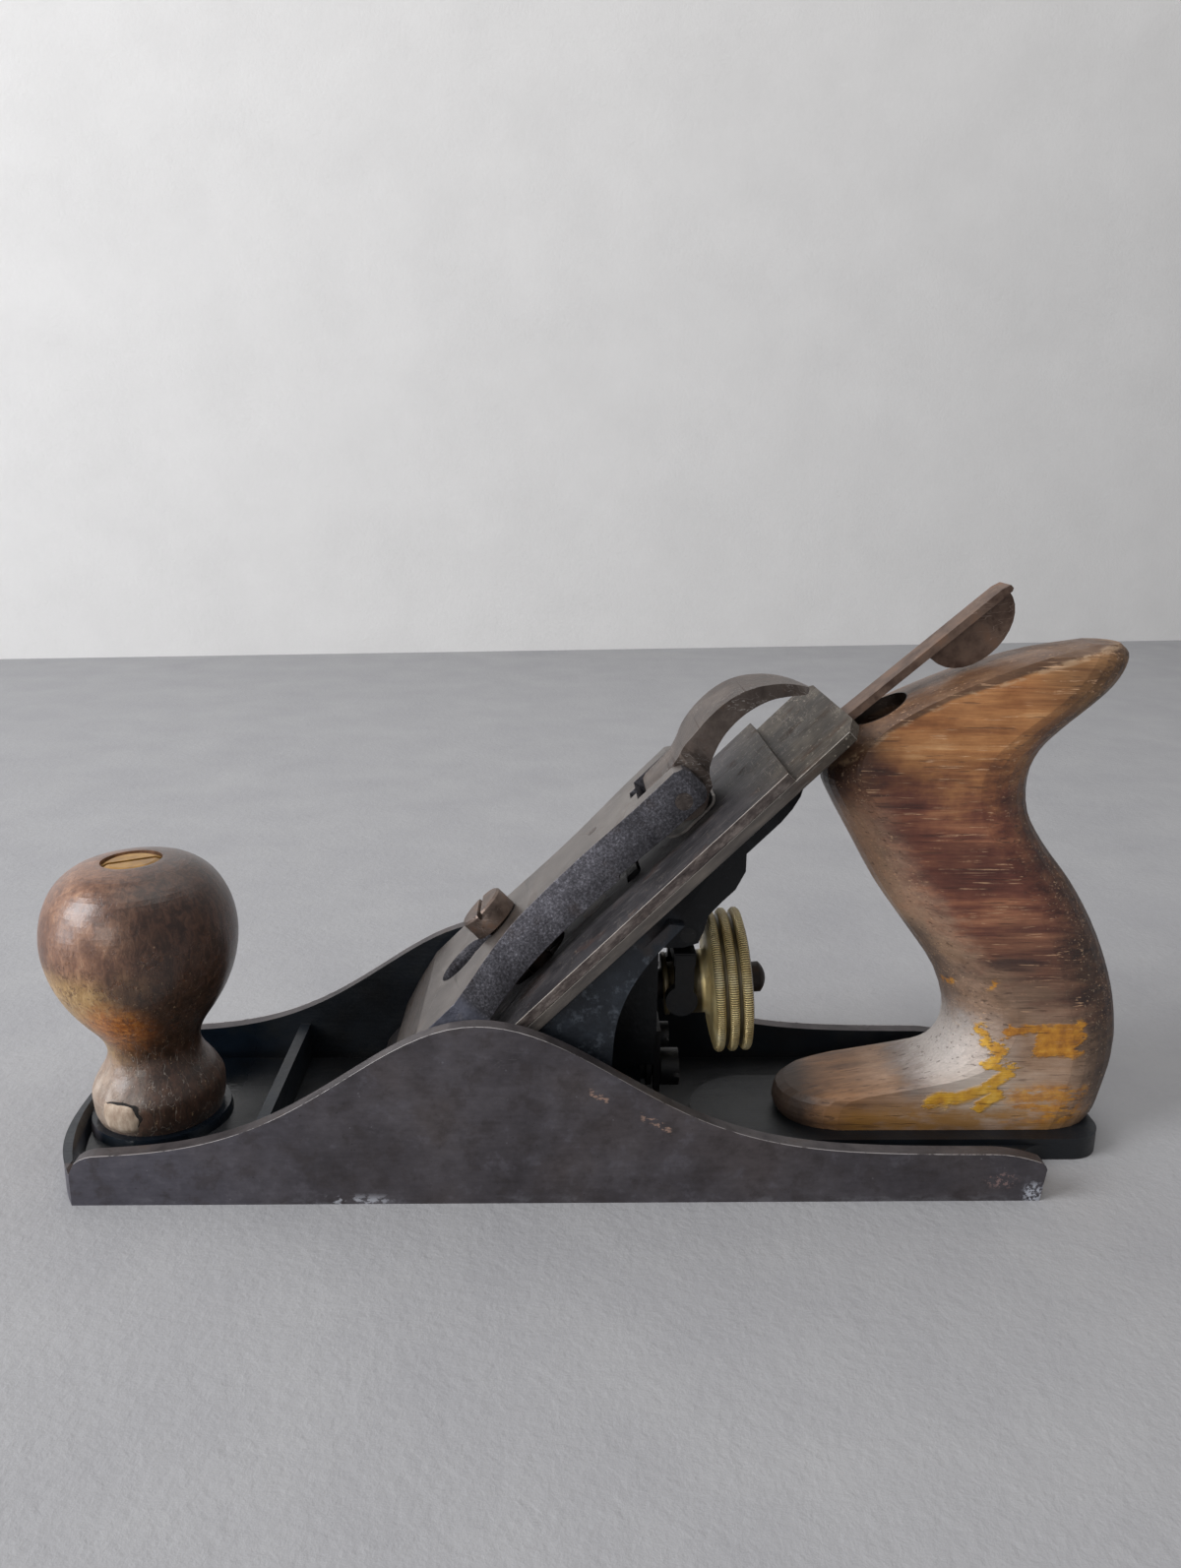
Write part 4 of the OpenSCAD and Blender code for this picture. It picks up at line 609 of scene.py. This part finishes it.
def knob_material():
    """Turned wood, broken varnish, painted light on the toe side and painted shade on the other."""
    m = Mat("knob_wood_worn")
    grain = m.noise(1.6, 5, 0.7, (1, 1, 0.45), distort=0.8)
    fibre = m.noise(0.5, 3, 0.65, (1, 1, 0.3))
    ring = m.noise(11, 5, 0.66, (1, 1, 0.8), distort=1.2)
    blot = m.noise(9, 4, 0.6, shift=7)
    body = m.tones(
        m.add(m.mul(grain, 0.45), m.mul(ring, 0.55)), (0.34, 66, 42, 32), (0.46, 98, 66, 49),
        (0.56, 126, 90, 68), (0.7, 160, 124, 98)
    )
    amber = m.tones(grain, (0.3, 124, 92, 50), (0.52, 168, 134, 84), (0.76, 200, 168, 122))
    # Varnish gone to amber below the bulb, to bare wood at the foot
    # Both are stronger on the lit side towards the toe, which is painted light
    lit = m.step(m.add(m.x, m.mul(m.y, 0.35), m.mul(blot, 14)), -90, -103)
    neck = m.mul(m.band(m.add(m.z, m.mul(blot, 10)), 27, 52, 5), m.lerp(lit, 0.35, 1.0))
    color = m.mix(m.mul(neck, 0.9), body, amber)
    bare = m.tones(
        m.noise(2.6, 5, 0.65, (1, 1, 0.4), shift=2), (0.3, 126, 106, 90), (0.55, 160, 144, 130),
        (0.75, 182, 168, 156)
    )
    foot = m.mul(m.step(m.add(m.z, m.mul(blot, 9)), 30, 20), m.lerp(lit, 0.4, 0.92))
    color = m.mix(foot, color, bare)
    # Painted shade on the side away from the light
    shady = m.step(m.add(m.x, m.mul(m.y, 0.25), m.mul(blot, 16), m.mul(m.z, -0.08)), -106, -90)
    dark = m.mix(m.step(grain, 0.4, 0.62), srgb(34, 21, 16), srgb(66, 43, 33))
    color = m.mix(m.mul(shady, 0.88), color, dark)
    # A patch of orange wood on the near side, over the neck
    across, up = m.add(m.x, m.mul(blot, 4), -2), m.add(m.z, m.mul(grain, 6), -3)
    glow = m.mul(m.blob((-100.5, 34.5), (6.5, 6), across, up, 0.8), m.step(m.y, 4, -6))
    orange = m.noise(1.4, 4, 0.7, shift=24)
    orange = m.tones(orange, (0.36, 132, 66, 16), (0.55, 196, 112, 34), (0.7, 222, 158, 84))
    color = m.mix(m.mul(glow, 0.8), color, orange)
    # Fine cracks, pits, specks, nicks and pale flecks
    crack = m.abs(m.add(m.noise(3.6, 3, 0.6, (1, 1, 0.2), shift=5), -0.5))
    crack = m.mul(m.step(crack, 0.007, 0.0), m.step(m.z, 44, 26))
    color = m.tint(color, (204, 192, 178), crack, 0.35)
    pits = m.patches(0.63, 0.7, 0.8, 3, 0.65, (1, 1, 0.3), shift=40)
    color = m.tint(color, (50, 32, 23), pits, 0.55)
    color = m.tint(color, (172, 140, 112), m.specks(1.1, 0.2, 3), 0.45)
    nick = m.mul(m.patches(0.56, 0.62, 2.2, 5, 0.78, shift=61), m.band(m.z, 22, 54, 6))
    color = m.tint(color, (104, 60, 26), nick, 0.55)
    fleck = m.mul(m.patches(0.62, 0.68, 0.9, 4, 0.75, (1, 1, 0.6), shift=83), m.step(m.z, 60, 40))
    color = m.tint(color, (206, 176, 140), fleck, 0.45)
    fine = m.noise(1.2, 5, 0.75, shift=91)
    color = m.shade(color, m.add(0.66, m.mul(fibre, 0.3), m.mul(fine, 0.4)))
    height = m.add(
        m.mul(grain, 0.6), m.mul(fibre, 0.4), m.mul(crack, -0.6), m.mul(nick, -0.9),
        m.mul(m.noise(4, 4, 0.65), 0.7)
    )
    rough = m.add(m.lerp(foot, 0.3, 0.6), m.mul(grain, 0.16))
    return m.done(color, rough, 0.0, height, 0.15, Coat_Weight=0.32, Coat_Roughness=0.18)


def tote_material():
    """Sawn and shaped wood; stains and paint marks are placed in side view."""
    m = Mat("tote_wood_worn")
    near = m.step(m.y, 2.0, -2.0)
    # Grain runs along the sole, as the blank was cut
    grain = m.noise(2.6, 5, 0.66, (0.07, 1, 1), distort=0.3)
    fibre = m.noise(0.5, 3, 0.6, (0.05, 1, 1))
    blot = m.noise(12, 5, 0.64, shift=2)
    sway = m.mul(m.add(blot, -0.5), 26)
    tear = m.add(m.noise(3.4, 5, 0.72, (0.35, 1, 1), shift=9), -0.5)

    def torn(place, by):
        """The place moved by the grain, so that borders come out ragged."""
        return m.add(place, m.mul(tear, by))

    def mark(centre, radii, torn_x, torn_z, soft=0.7):
        return m.blob(centre, radii, torn(m.x, torn_x), torn(m.z, torn_z), soft)

    wood = m.add(m.mul(grain, 0.6), m.mul(blot, 0.4))
    amber = m.tones(
        wood, (0.3, 92, 57, 36), (0.43, 138, 89, 52), (0.55, 170, 118, 72), (0.7, 202, 158, 112)
    )
    wine = m.tones(
        wood, (0.34, 58, 27, 28), (0.48, 98, 51, 45), (0.6, 142, 88, 66), (0.74, 184, 128, 96)
    )
    bare = m.tones(
        m.add(m.mul(grain, 0.4), m.mul(blot, 0.6)), (0.32, 118, 90, 68), (0.48, 156, 126, 102),
        (0.64, 178, 150, 128)
    )
    # Amber above, a wine-dark band that falls towards the heel, bare wood below
    over = m.add(m.z, m.mul(m.x, 0.277), sway, m.mul(tear, 14), -115.7)
    under = m.add(m.z, m.mul(m.x, 0.61), sway, m.mul(tear, 16), -110.2)
    color = m.mix(m.step(over, 7, -9), amber, m.mix(0.85, amber, wine))
    color = m.mix(m.step(under, 5, -6), color, bare)
    # Dark stains: a short dash, one over the grip, one under the wine band
    swayed = m.add(m.x, sway)
    color = m.tint(color, (34, 22, 28), mark((104.4, 48.6), (7, 1.6), 6, 4, 0.5), 0.8)
    color = m.tint(color, (66, 32, 28), m.blob((94, 73), (12, 5), swayed, torn(m.z, 8)), 0.5)
    low_dark = m.blob((110, 46), (19, 13), swayed, torn(m.z, 12), 0.8)
    stained = m.tones(grain, (0.36, 46, 30, 28), (0.52, 82, 58, 46), (0.68, 122, 90, 70))
    color = m.mix(m.mul(low_dark, 0.6), color, stained)
    # Front edge: painted highlight above the hollow, painted shade in it
    wx, wz = torn(m.x, 9), torn(m.z, 6)
    lit_front_edge = m.stroke(FRONT_EDGE, 7, 5, wx, wz)
    color = m.tint(color, (182, 152, 128), lit_front_edge, m.step(m.z, 93, 82), m.step(m.z, 46, 58), 0.62)
    hollow = m.stroke(FRONT_HOLLOW, 3.6, 3.4, wx, wz)
    color = m.tint(color, (78, 72, 72), hollow, 0.7)
    # Painted pale highlight around the hollow's foot, reaching towards the heel on the near side
    color = m.tint(color, (214, 208, 204), mark((94, 24), (10, 9), 10, 8), 0.6)
    color = m.tint(color, (196, 184, 170), mark((102, 15), (10, 6), 12, 8), near, 0.5)
    # Foot: brown towards the toe end, nearly black at its tip
    toe_end = m.mul(m.step(m.x, 84, 68), m.step(m.z, 24, 16))
    brown = m.tones(grain, (0.35, 86, 56, 35), (0.6, 134, 94, 60))
    color = m.mix(m.mul(toe_end, 0.75), color, brown)
    color = m.tint(color, (34, 25, 21), m.step(torn(m.x, 6), 65, 57), 0.88)
    # Painted shadow of the iron on the top, painted shade on the heel-side edge, dull brown horn
    iron_shadow = m.mul(m.step(m.add(m.x, m.mul(blot, 10)), 80, 68), m.step(m.z, 80, 93))
    color = m.tint(color, (40, 27, 22), iron_shadow, 0.85)
    shaded_rear_edge = m.highest(m.stroke(REAR_EDGE, 5.6, 5, wx, wz), m.stroke(REAR_LOW, 8.5, 6, wx, wz))
    color = m.mix(m.mul(shaded_rear_edge, 0.88), color, m.tones(grain, (0.4, 40, 29, 24), (0.7, 84, 62, 46)))
    horn = m.mul(m.step(m.add(m.x, m.mul(m.z, 0.4), sway), 144, 160), m.step(m.z, 92, 100))
    color = m.mix(m.mul(horn, 0.62), color, m.tones(grain, (0.36, 66, 48, 30), (0.6, 122, 92, 60)))
    # Top of the handle, above its crisp shoulder: duller and greyer, with a worn pale corner
    shoulder = m.lowest(*(m.add(height, m.mul(m.x, rise)) for height, rise in SHOULDER))
    lift = m.math("SUBTRACT", m.z, shoulder)
    deck = m.mul(m.step(lift, -0.5, 0.4), m.step(m.z, 86, 92))
    dull = m.noise(4, 5, 0.65, (0.3, 1, 1), shift=6)
    dull = m.tones(dull, (0.3, 58, 41, 31), (0.5, 84, 61, 45), (0.75, 112, 88, 68))
    color = m.mix(m.mul(deck, 0.88), color, dull)
    rim = m.mul(
        m.band(lift, -0.8, 0.5, 0.35), m.step(m.z, 92, 97),
        m.patches(0.46, 0.58, 2.4, 4, 0.7, (0.4, 1, 1), shift=70)
    )
    color = m.tint(color, (176, 148, 118), rim, 0.55)
    # Paint marks: zigzag with a smear, block, ochre dabs and spots, a brown stain along the foot
    px, pz = torn(m.x, 15), torn(m.z, 9)
    zigzag = m.highest(m.stroke(ZIGZAG, 1.7, 0.5, px, pz), m.stroke(SMEAR, 1.6, 0.7, px, pz))
    block = m.mul(m.band(px, 110.5, 122.5, 0.5), m.band(pz, 25, 33.4, 0.5))
    block = m.highest(block, m.mul(m.band(px, 104.5, 111.5, 0.6), m.band(pz, 30.8, 33.4, 0.4)))
    stripes = m.patches(0.45, 0.56, 1.8, 4, 0.7, (0.22, 1, 1), shift=19)
    dabs = m.mul(m.band(px, 106, 125, 3), m.band(pz, 8, 17.5, 1.5), stripes)
    spots = m.highest(
        m.blob((92.2, 42), (1.3, 0.8), px, pz), m.blob((100.1, 43.2), (1.0, 1.1), px, pz)
    )
    low = m.mul(
        m.band(px, 66, 122, 6), m.band(pz, 4, 11.5, 2.5),
        m.patches(0.32, 0.54, 4, 4, 0.6, (0.4, 1, 1), shift=30)
    )
    thin = m.patches(0.24, 0.38, 0.8, 3, 0.7, (0.3, 1, 1), shift=44)
    yellow = m.tones(
        m.noise(3, 4, 0.6, shift=27), (0.35, 184, 128, 28), (0.55, 212, 160, 42),
        (0.75, 224, 180, 76)
    )
    ochre = m.tones(
        m.noise(2.4, 4, 0.6, shift=28), (0.35, 156, 98, 26), (0.55, 190, 128, 32),
        (0.75, 208, 154, 54)
    )
    color = m.tint(color, (150, 106, 44), low, near, 0.8)
    color = m.mix(m.mul(m.highest(dabs, spots), near, 0.82), color, ochre)
    color = m.mix(m.mul(block, near, thin, 0.95), color, ochre)
    color = m.mix(m.mul(zigzag, near, thin, 0.95), color, yellow)
    # Fine pale dashes and dark pores along the grain
    dash = m.mul(
        m.patches(0.6, 0.68, 0.42, 2, 0.5, (0.05, 1, 1), shift=60),
        m.patches(0.44, 0.6, 7, 4, 0.7, shift=64)
    )
    color = m.tint(color, (216, 174, 136), dash, m.step(m.z, 20, 40), 0.55)
    pores = m.patches(0.62, 0.69, 0.7, 2, 0.5, (0.07, 1, 1), shift=50)
    color = m.tint(color, (52, 32, 26), pores, 0.5)
    pits = m.mul(m.patches(0.62, 0.68, 0.9, 3, 0.7, shift=77), m.highest(lit_front_edge, shaded_rear_edge))
    color = m.tint(color, (206, 180, 150), pits, 0.5)
    # Painted shade in the well over the nut of the rod
    rel = m.vec("SUBTRACT", m.mm, (ROD_X, 0, ROD_Z))
    up = m.vec("DOT_PRODUCT", rel, (-math.sin(ROD_LEAN), 0, math.cos(ROD_LEAN)))
    out = m.math("SQRT", m.math("SUBTRACT", m.vec("DOT_PRODUCT", rel, rel), m.mul(up, up)))
    well = m.mul(m.step(out, WELL_R + 0.3, WELL_R + 0.1), m.step(m.z, 60, 70))
    color = m.tint(color, (20, 14, 11), well, 0.92)
    # Fine streaks over all of it; the varnish shines where it is left, over the grip
    streak = m.noise(0.45, 3, 0.7, (0.03, 1, 1), shift=81)
    color = m.shade(color, m.add(0.5, m.mul(fibre, 0.3), m.mul(streak, 0.68)))
    varnish = m.mul(m.step(m.z, 34, 60), m.step(blot, 0.62, 0.45))
    rough = m.add(m.lerp(varnish, 0.56, 0.34), m.mul(grain, 0.12))
    height = m.add(
        m.mul(grain, 0.5), m.mul(fibre, 0.45), m.mul(m.highest(zigzag, block), near, 1.2),
        m.mul(dash, -0.5), m.mul(pores, -0.4)
    )
    return m.done(color, rough, 0.0, height, 0.13, Coat_Weight=0.12, Coat_Roughness=0.3)


def chip_material():
    """Bare wood of the sliver on the knob."""
    m = Mat("bare_wood_chip")
    grain = m.noise(1.8, 5, 0.65, (1, 1, 0.35))
    color = m.tones(grain, (0.3, 138, 116, 98), (0.55, 176, 158, 140), (0.75, 196, 182, 168))
    color = m.tint(color, (96, 74, 58), m.specks(1.4, 0.4), 0.5)
    return m.done(color, 0.7, 0.0, m.add(grain, m.mul(m.noise(0.5, 2), 0.5)), 0.15)


def crack_material():
    """Dark line round that sliver."""
    m = Mat("dark_crack")
    color = m.tones(m.noise(1.0, 3), (0.3, 14, 12, 12), (0.7, 40, 32, 28))
    return m.done(color, 0.9, 0.0, m.noise(0.5, 3), 0.05)


# Stage: pale floor, and a backdrop far enough behind to leave all sides open to view

def stage_material(name, light, dark, size, bump):
    m = Mat(name)
    color = m.tones(m.noise(size, 4, 0.6), (0.3, *dark), (0.7, *light))
    height = m.add(m.mul(m.noise(2.6, 4, 0.65), 0.8), m.mul(m.noise(9, 3, 0.6), 0.6))
    return m.done(color, 0.8, 0.0, height, bump)


def plane(name, corners, material):
    mesh = bpy.data.meshes.new(name)
    mesh.from_pydata(corners, [], [(0, 1, 2, 3)])
    obj = bpy.data.objects.new(name, mesh)
    bpy.context.scene.collection.objects.link(obj)
    mesh.materials.append(material)


def make_stage():
    floor = stage_material("stage_shelf", (156, 156, 158), (148, 148, 151), 40, 0.4)
    wall = stage_material("stage_wall", (222, 221, 220), (216, 215, 214), 60, 0.3)
    signs = ((-1, -1), (1, -1), (1, 1), (-1, 1))
    plane("floor", [(FLOOR_X * sx, FLOOR_Y * sy, 0) for sx, sy in signs], floor)
    corners = [
        (WALL_X * sx, WALL_Y + WALL_SLANT * WALL_X * sx, WALL_TOP if sz > 0 else WALL_FOOT)
        for sx, sz in signs
    ]
    plane("wall", corners, wall)


# Camera and lights

def make_camera():
    fwd = Vector(
        (math.sin(YAW) * math.cos(PITCH), math.cos(YAW) * math.cos(PITCH), -math.sin(PITCH))
    )
    level = Vector((math.cos(YAW), -math.sin(YAW), 0.0))
    down = fwd.cross(level)
    right = math.cos(ROLL) * level + math.sin(ROLL) * down
    up = math.sin(ROLL) * level - math.cos(ROLL) * down
    data = bpy.data.cameras.new("camera")
    cam = bpy.data.objects.new("camera", data)
    bpy.context.scene.collection.objects.link(cam)
    data.sensor_width = SENSOR_MM
    data.lens = SENSOR_MM * FOCAL_PX / PICTURE_PX
    data.clip_start, data.clip_end = NEAR, FAR
    rows = zip(right, up, -fwd, EYE)
    cam.matrix_world = Matrix((*rows, (0, 0, 0, 1)))
    bpy.context.scene.camera = cam


def area(name, place, target, size, power, color):
    data = bpy.data.lights.new(name, "AREA")
    data.shape, data.size, data.size_y = "RECTANGLE", size[0], size[1]
    data.energy, data.color = power, color
    obj = bpy.data.objects.new(name, data)
    bpy.context.scene.collection.objects.link(obj)
    obj.location = place
    obj.rotation_mode = "QUATERNION"
    obj.rotation_quaternion = (Vector(target) - Vector(place)).to_track_quat("-Z", "Y")


def make_lights():
    world = bpy.data.worlds.new("soft_room")
    world.use_nodes = True
    background = world.node_tree.nodes["Background"]
    background.inputs[0].default_value = ROOM_TONE
    background.inputs[1].default_value = ROOM_LIGHT
    bpy.context.scene.world = world
    for light in LIGHTS:
        area(*light)
    bpy.context.scene.view_settings.view_transform = "Standard"


# Looks of the solids

def soften(name, width):
    """Small rounded edges on a solid, so that they catch the light as worn edges do."""
    obj = NODES[name]
    weld = obj.modifiers.new("weld", "WELD")
    weld.merge_threshold = WELD_DISTANCE
    bevel = obj.modifiers.new("bevel", "BEVEL")
    bevel.width = width * MM
    bevel.segments = EDGE_SEGMENTS
    bevel.limit_method = "ANGLE"
    bevel.angle_limit = EDGE_ANGLE
    bevel.use_clamp_overlap = True
    bevel.miter_outer = "MITER_ARC"


def paint_nodes():
    """Gives each solid its material; those not in the table are of plain screw steel."""
    plain, oily = steel_material(*PLAIN), steel_material(*OILY)
    nut = brass_material("brass_plain", False)
    table = {
        "base_casting": base_material(),
        "knob": knob_material(),
        "tote": tote_material(),
        "frog": frog_material("frog_enamel", (18, 22, 28), (84, 90, 98), 0.5),
        # The whole yoke lies within the width of the frog's hollow, so it takes that painted shade
        # all over
        "yoke": frog_material("yoke_enamel", (12, 13, 15), (34, 34, 36), 0.3),
        "lever_cap": lever_cap_material(),
        "cam_lever": cam_material(),
        "depth_wheel": brass_material("brass_knurled", True),
        "knob_nut": nut,
        "tote_nut": nut,
        "blade": iron_material("blade_steel", False),
        "cap_iron": iron_material("cap_iron_steel", True),
        "frog_adjusting_screw": oily,
        "frog_clip": oily,
        "frog_clip_screw": oily,
        "yoke_pin": oily,
    }
    for name, look in STEELS.items():
        table[name] = steel_material(*look)
    for name, obj in NODES.items():
        obj.data.materials.clear()
        obj.data.materials.append(table.get(name, plain))
        for poly in obj.data.polygons:
            poly.material_index = 0


# Broken and re-set sliver at the knob's foot, on the near left side

def knob_radius(z):
    """Radius of the knob in mm at a height in mm over its seat."""
    t = z / KNOB_H
    for (r0, t0), (r1, t1) in zip(KNOB_OUTLINE, KNOB_OUTLINE[1:]):
        if t <= t1:
            return KNOB_R * (r0 + (r1 - r0) * ((t - t0) / (t1 - t0)))
    return KNOB_R


def surface_patch(name, centre_angle, centre_z, half_w, half_h, lift, material):
    """A thin domed patch that follows the knob's side, with its rim under the surface; in mm."""
    mesh = bmesh.new()
    columns, lines = PATCH_GRID
    rows = []
    for j in range(lines + 1):
        v = -1 + 2 * j / lines
        row = []
        for i in range(columns + 1):
            u = -1 + 2 * i / columns
            # Square grid pushed on to a rounded outline
            a, b = u * math.sqrt(1 - v * v / 2), v * math.sqrt(1 - u * u / 2)
            edge = max(abs(u), abs(v))
            spread = 1 + RAGGED * noise.noise(Vector((a * 2.1, b * 2.1, centre_z)))
            z = centre_z + b * half_h * spread
            side = knob_radius(max(z, 0))
            dome = (1 - edge ** 4) * (1 - edge * edge / 2)
            r = side + lift * dome - RIM_DIP * edge ** 8
            angle = centre_angle + a * half_w * spread / side
            x, y = r * math.cos(angle), r * math.sin(angle)
            row.append(mesh.verts.new((
                (KNOB_X + x * math.cos(KNOB_LEAN) - z * math.sin(KNOB_LEAN)) * MM,
                y * MM,
                (KNOB_SEAT + x * math.sin(KNOB_LEAN) + z * math.cos(KNOB_LEAN)) * MM,
            )))
        rows.append(row)
    for below, above in zip(rows, rows[1:]):
        for i in range(columns):
            mesh.faces.new((below[i], below[i + 1], above[i + 1], above[i]))
    data = bpy.data.meshes.new(name)
    mesh.to_mesh(data)
    mesh.free()
    obj = bpy.data.objects.new(name, data)
    bpy.context.scene.collection.objects.link(obj)
    data.materials.append(material)
    for poly in data.polygons:
        poly.use_smooth = True
    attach(obj, "base")
    return obj


def make_chip():
    """The dark crack, and the sliver of bare wood inside it."""
    crack = surface_patch("knob_crack", CHIP_ANGLE + 0.03, 5.4, 6.0, 4.6, 0.3, crack_material())
    chip = surface_patch("knob_chip", CHIP_ANGLE - 0.01, 4.7, 5.7, 4.4, 0.62, chip_material())


make_stage()
make_camera()
make_lights()
paint_nodes()
for item, width in EDGES.items():
    soften(item, width)
make_chip()
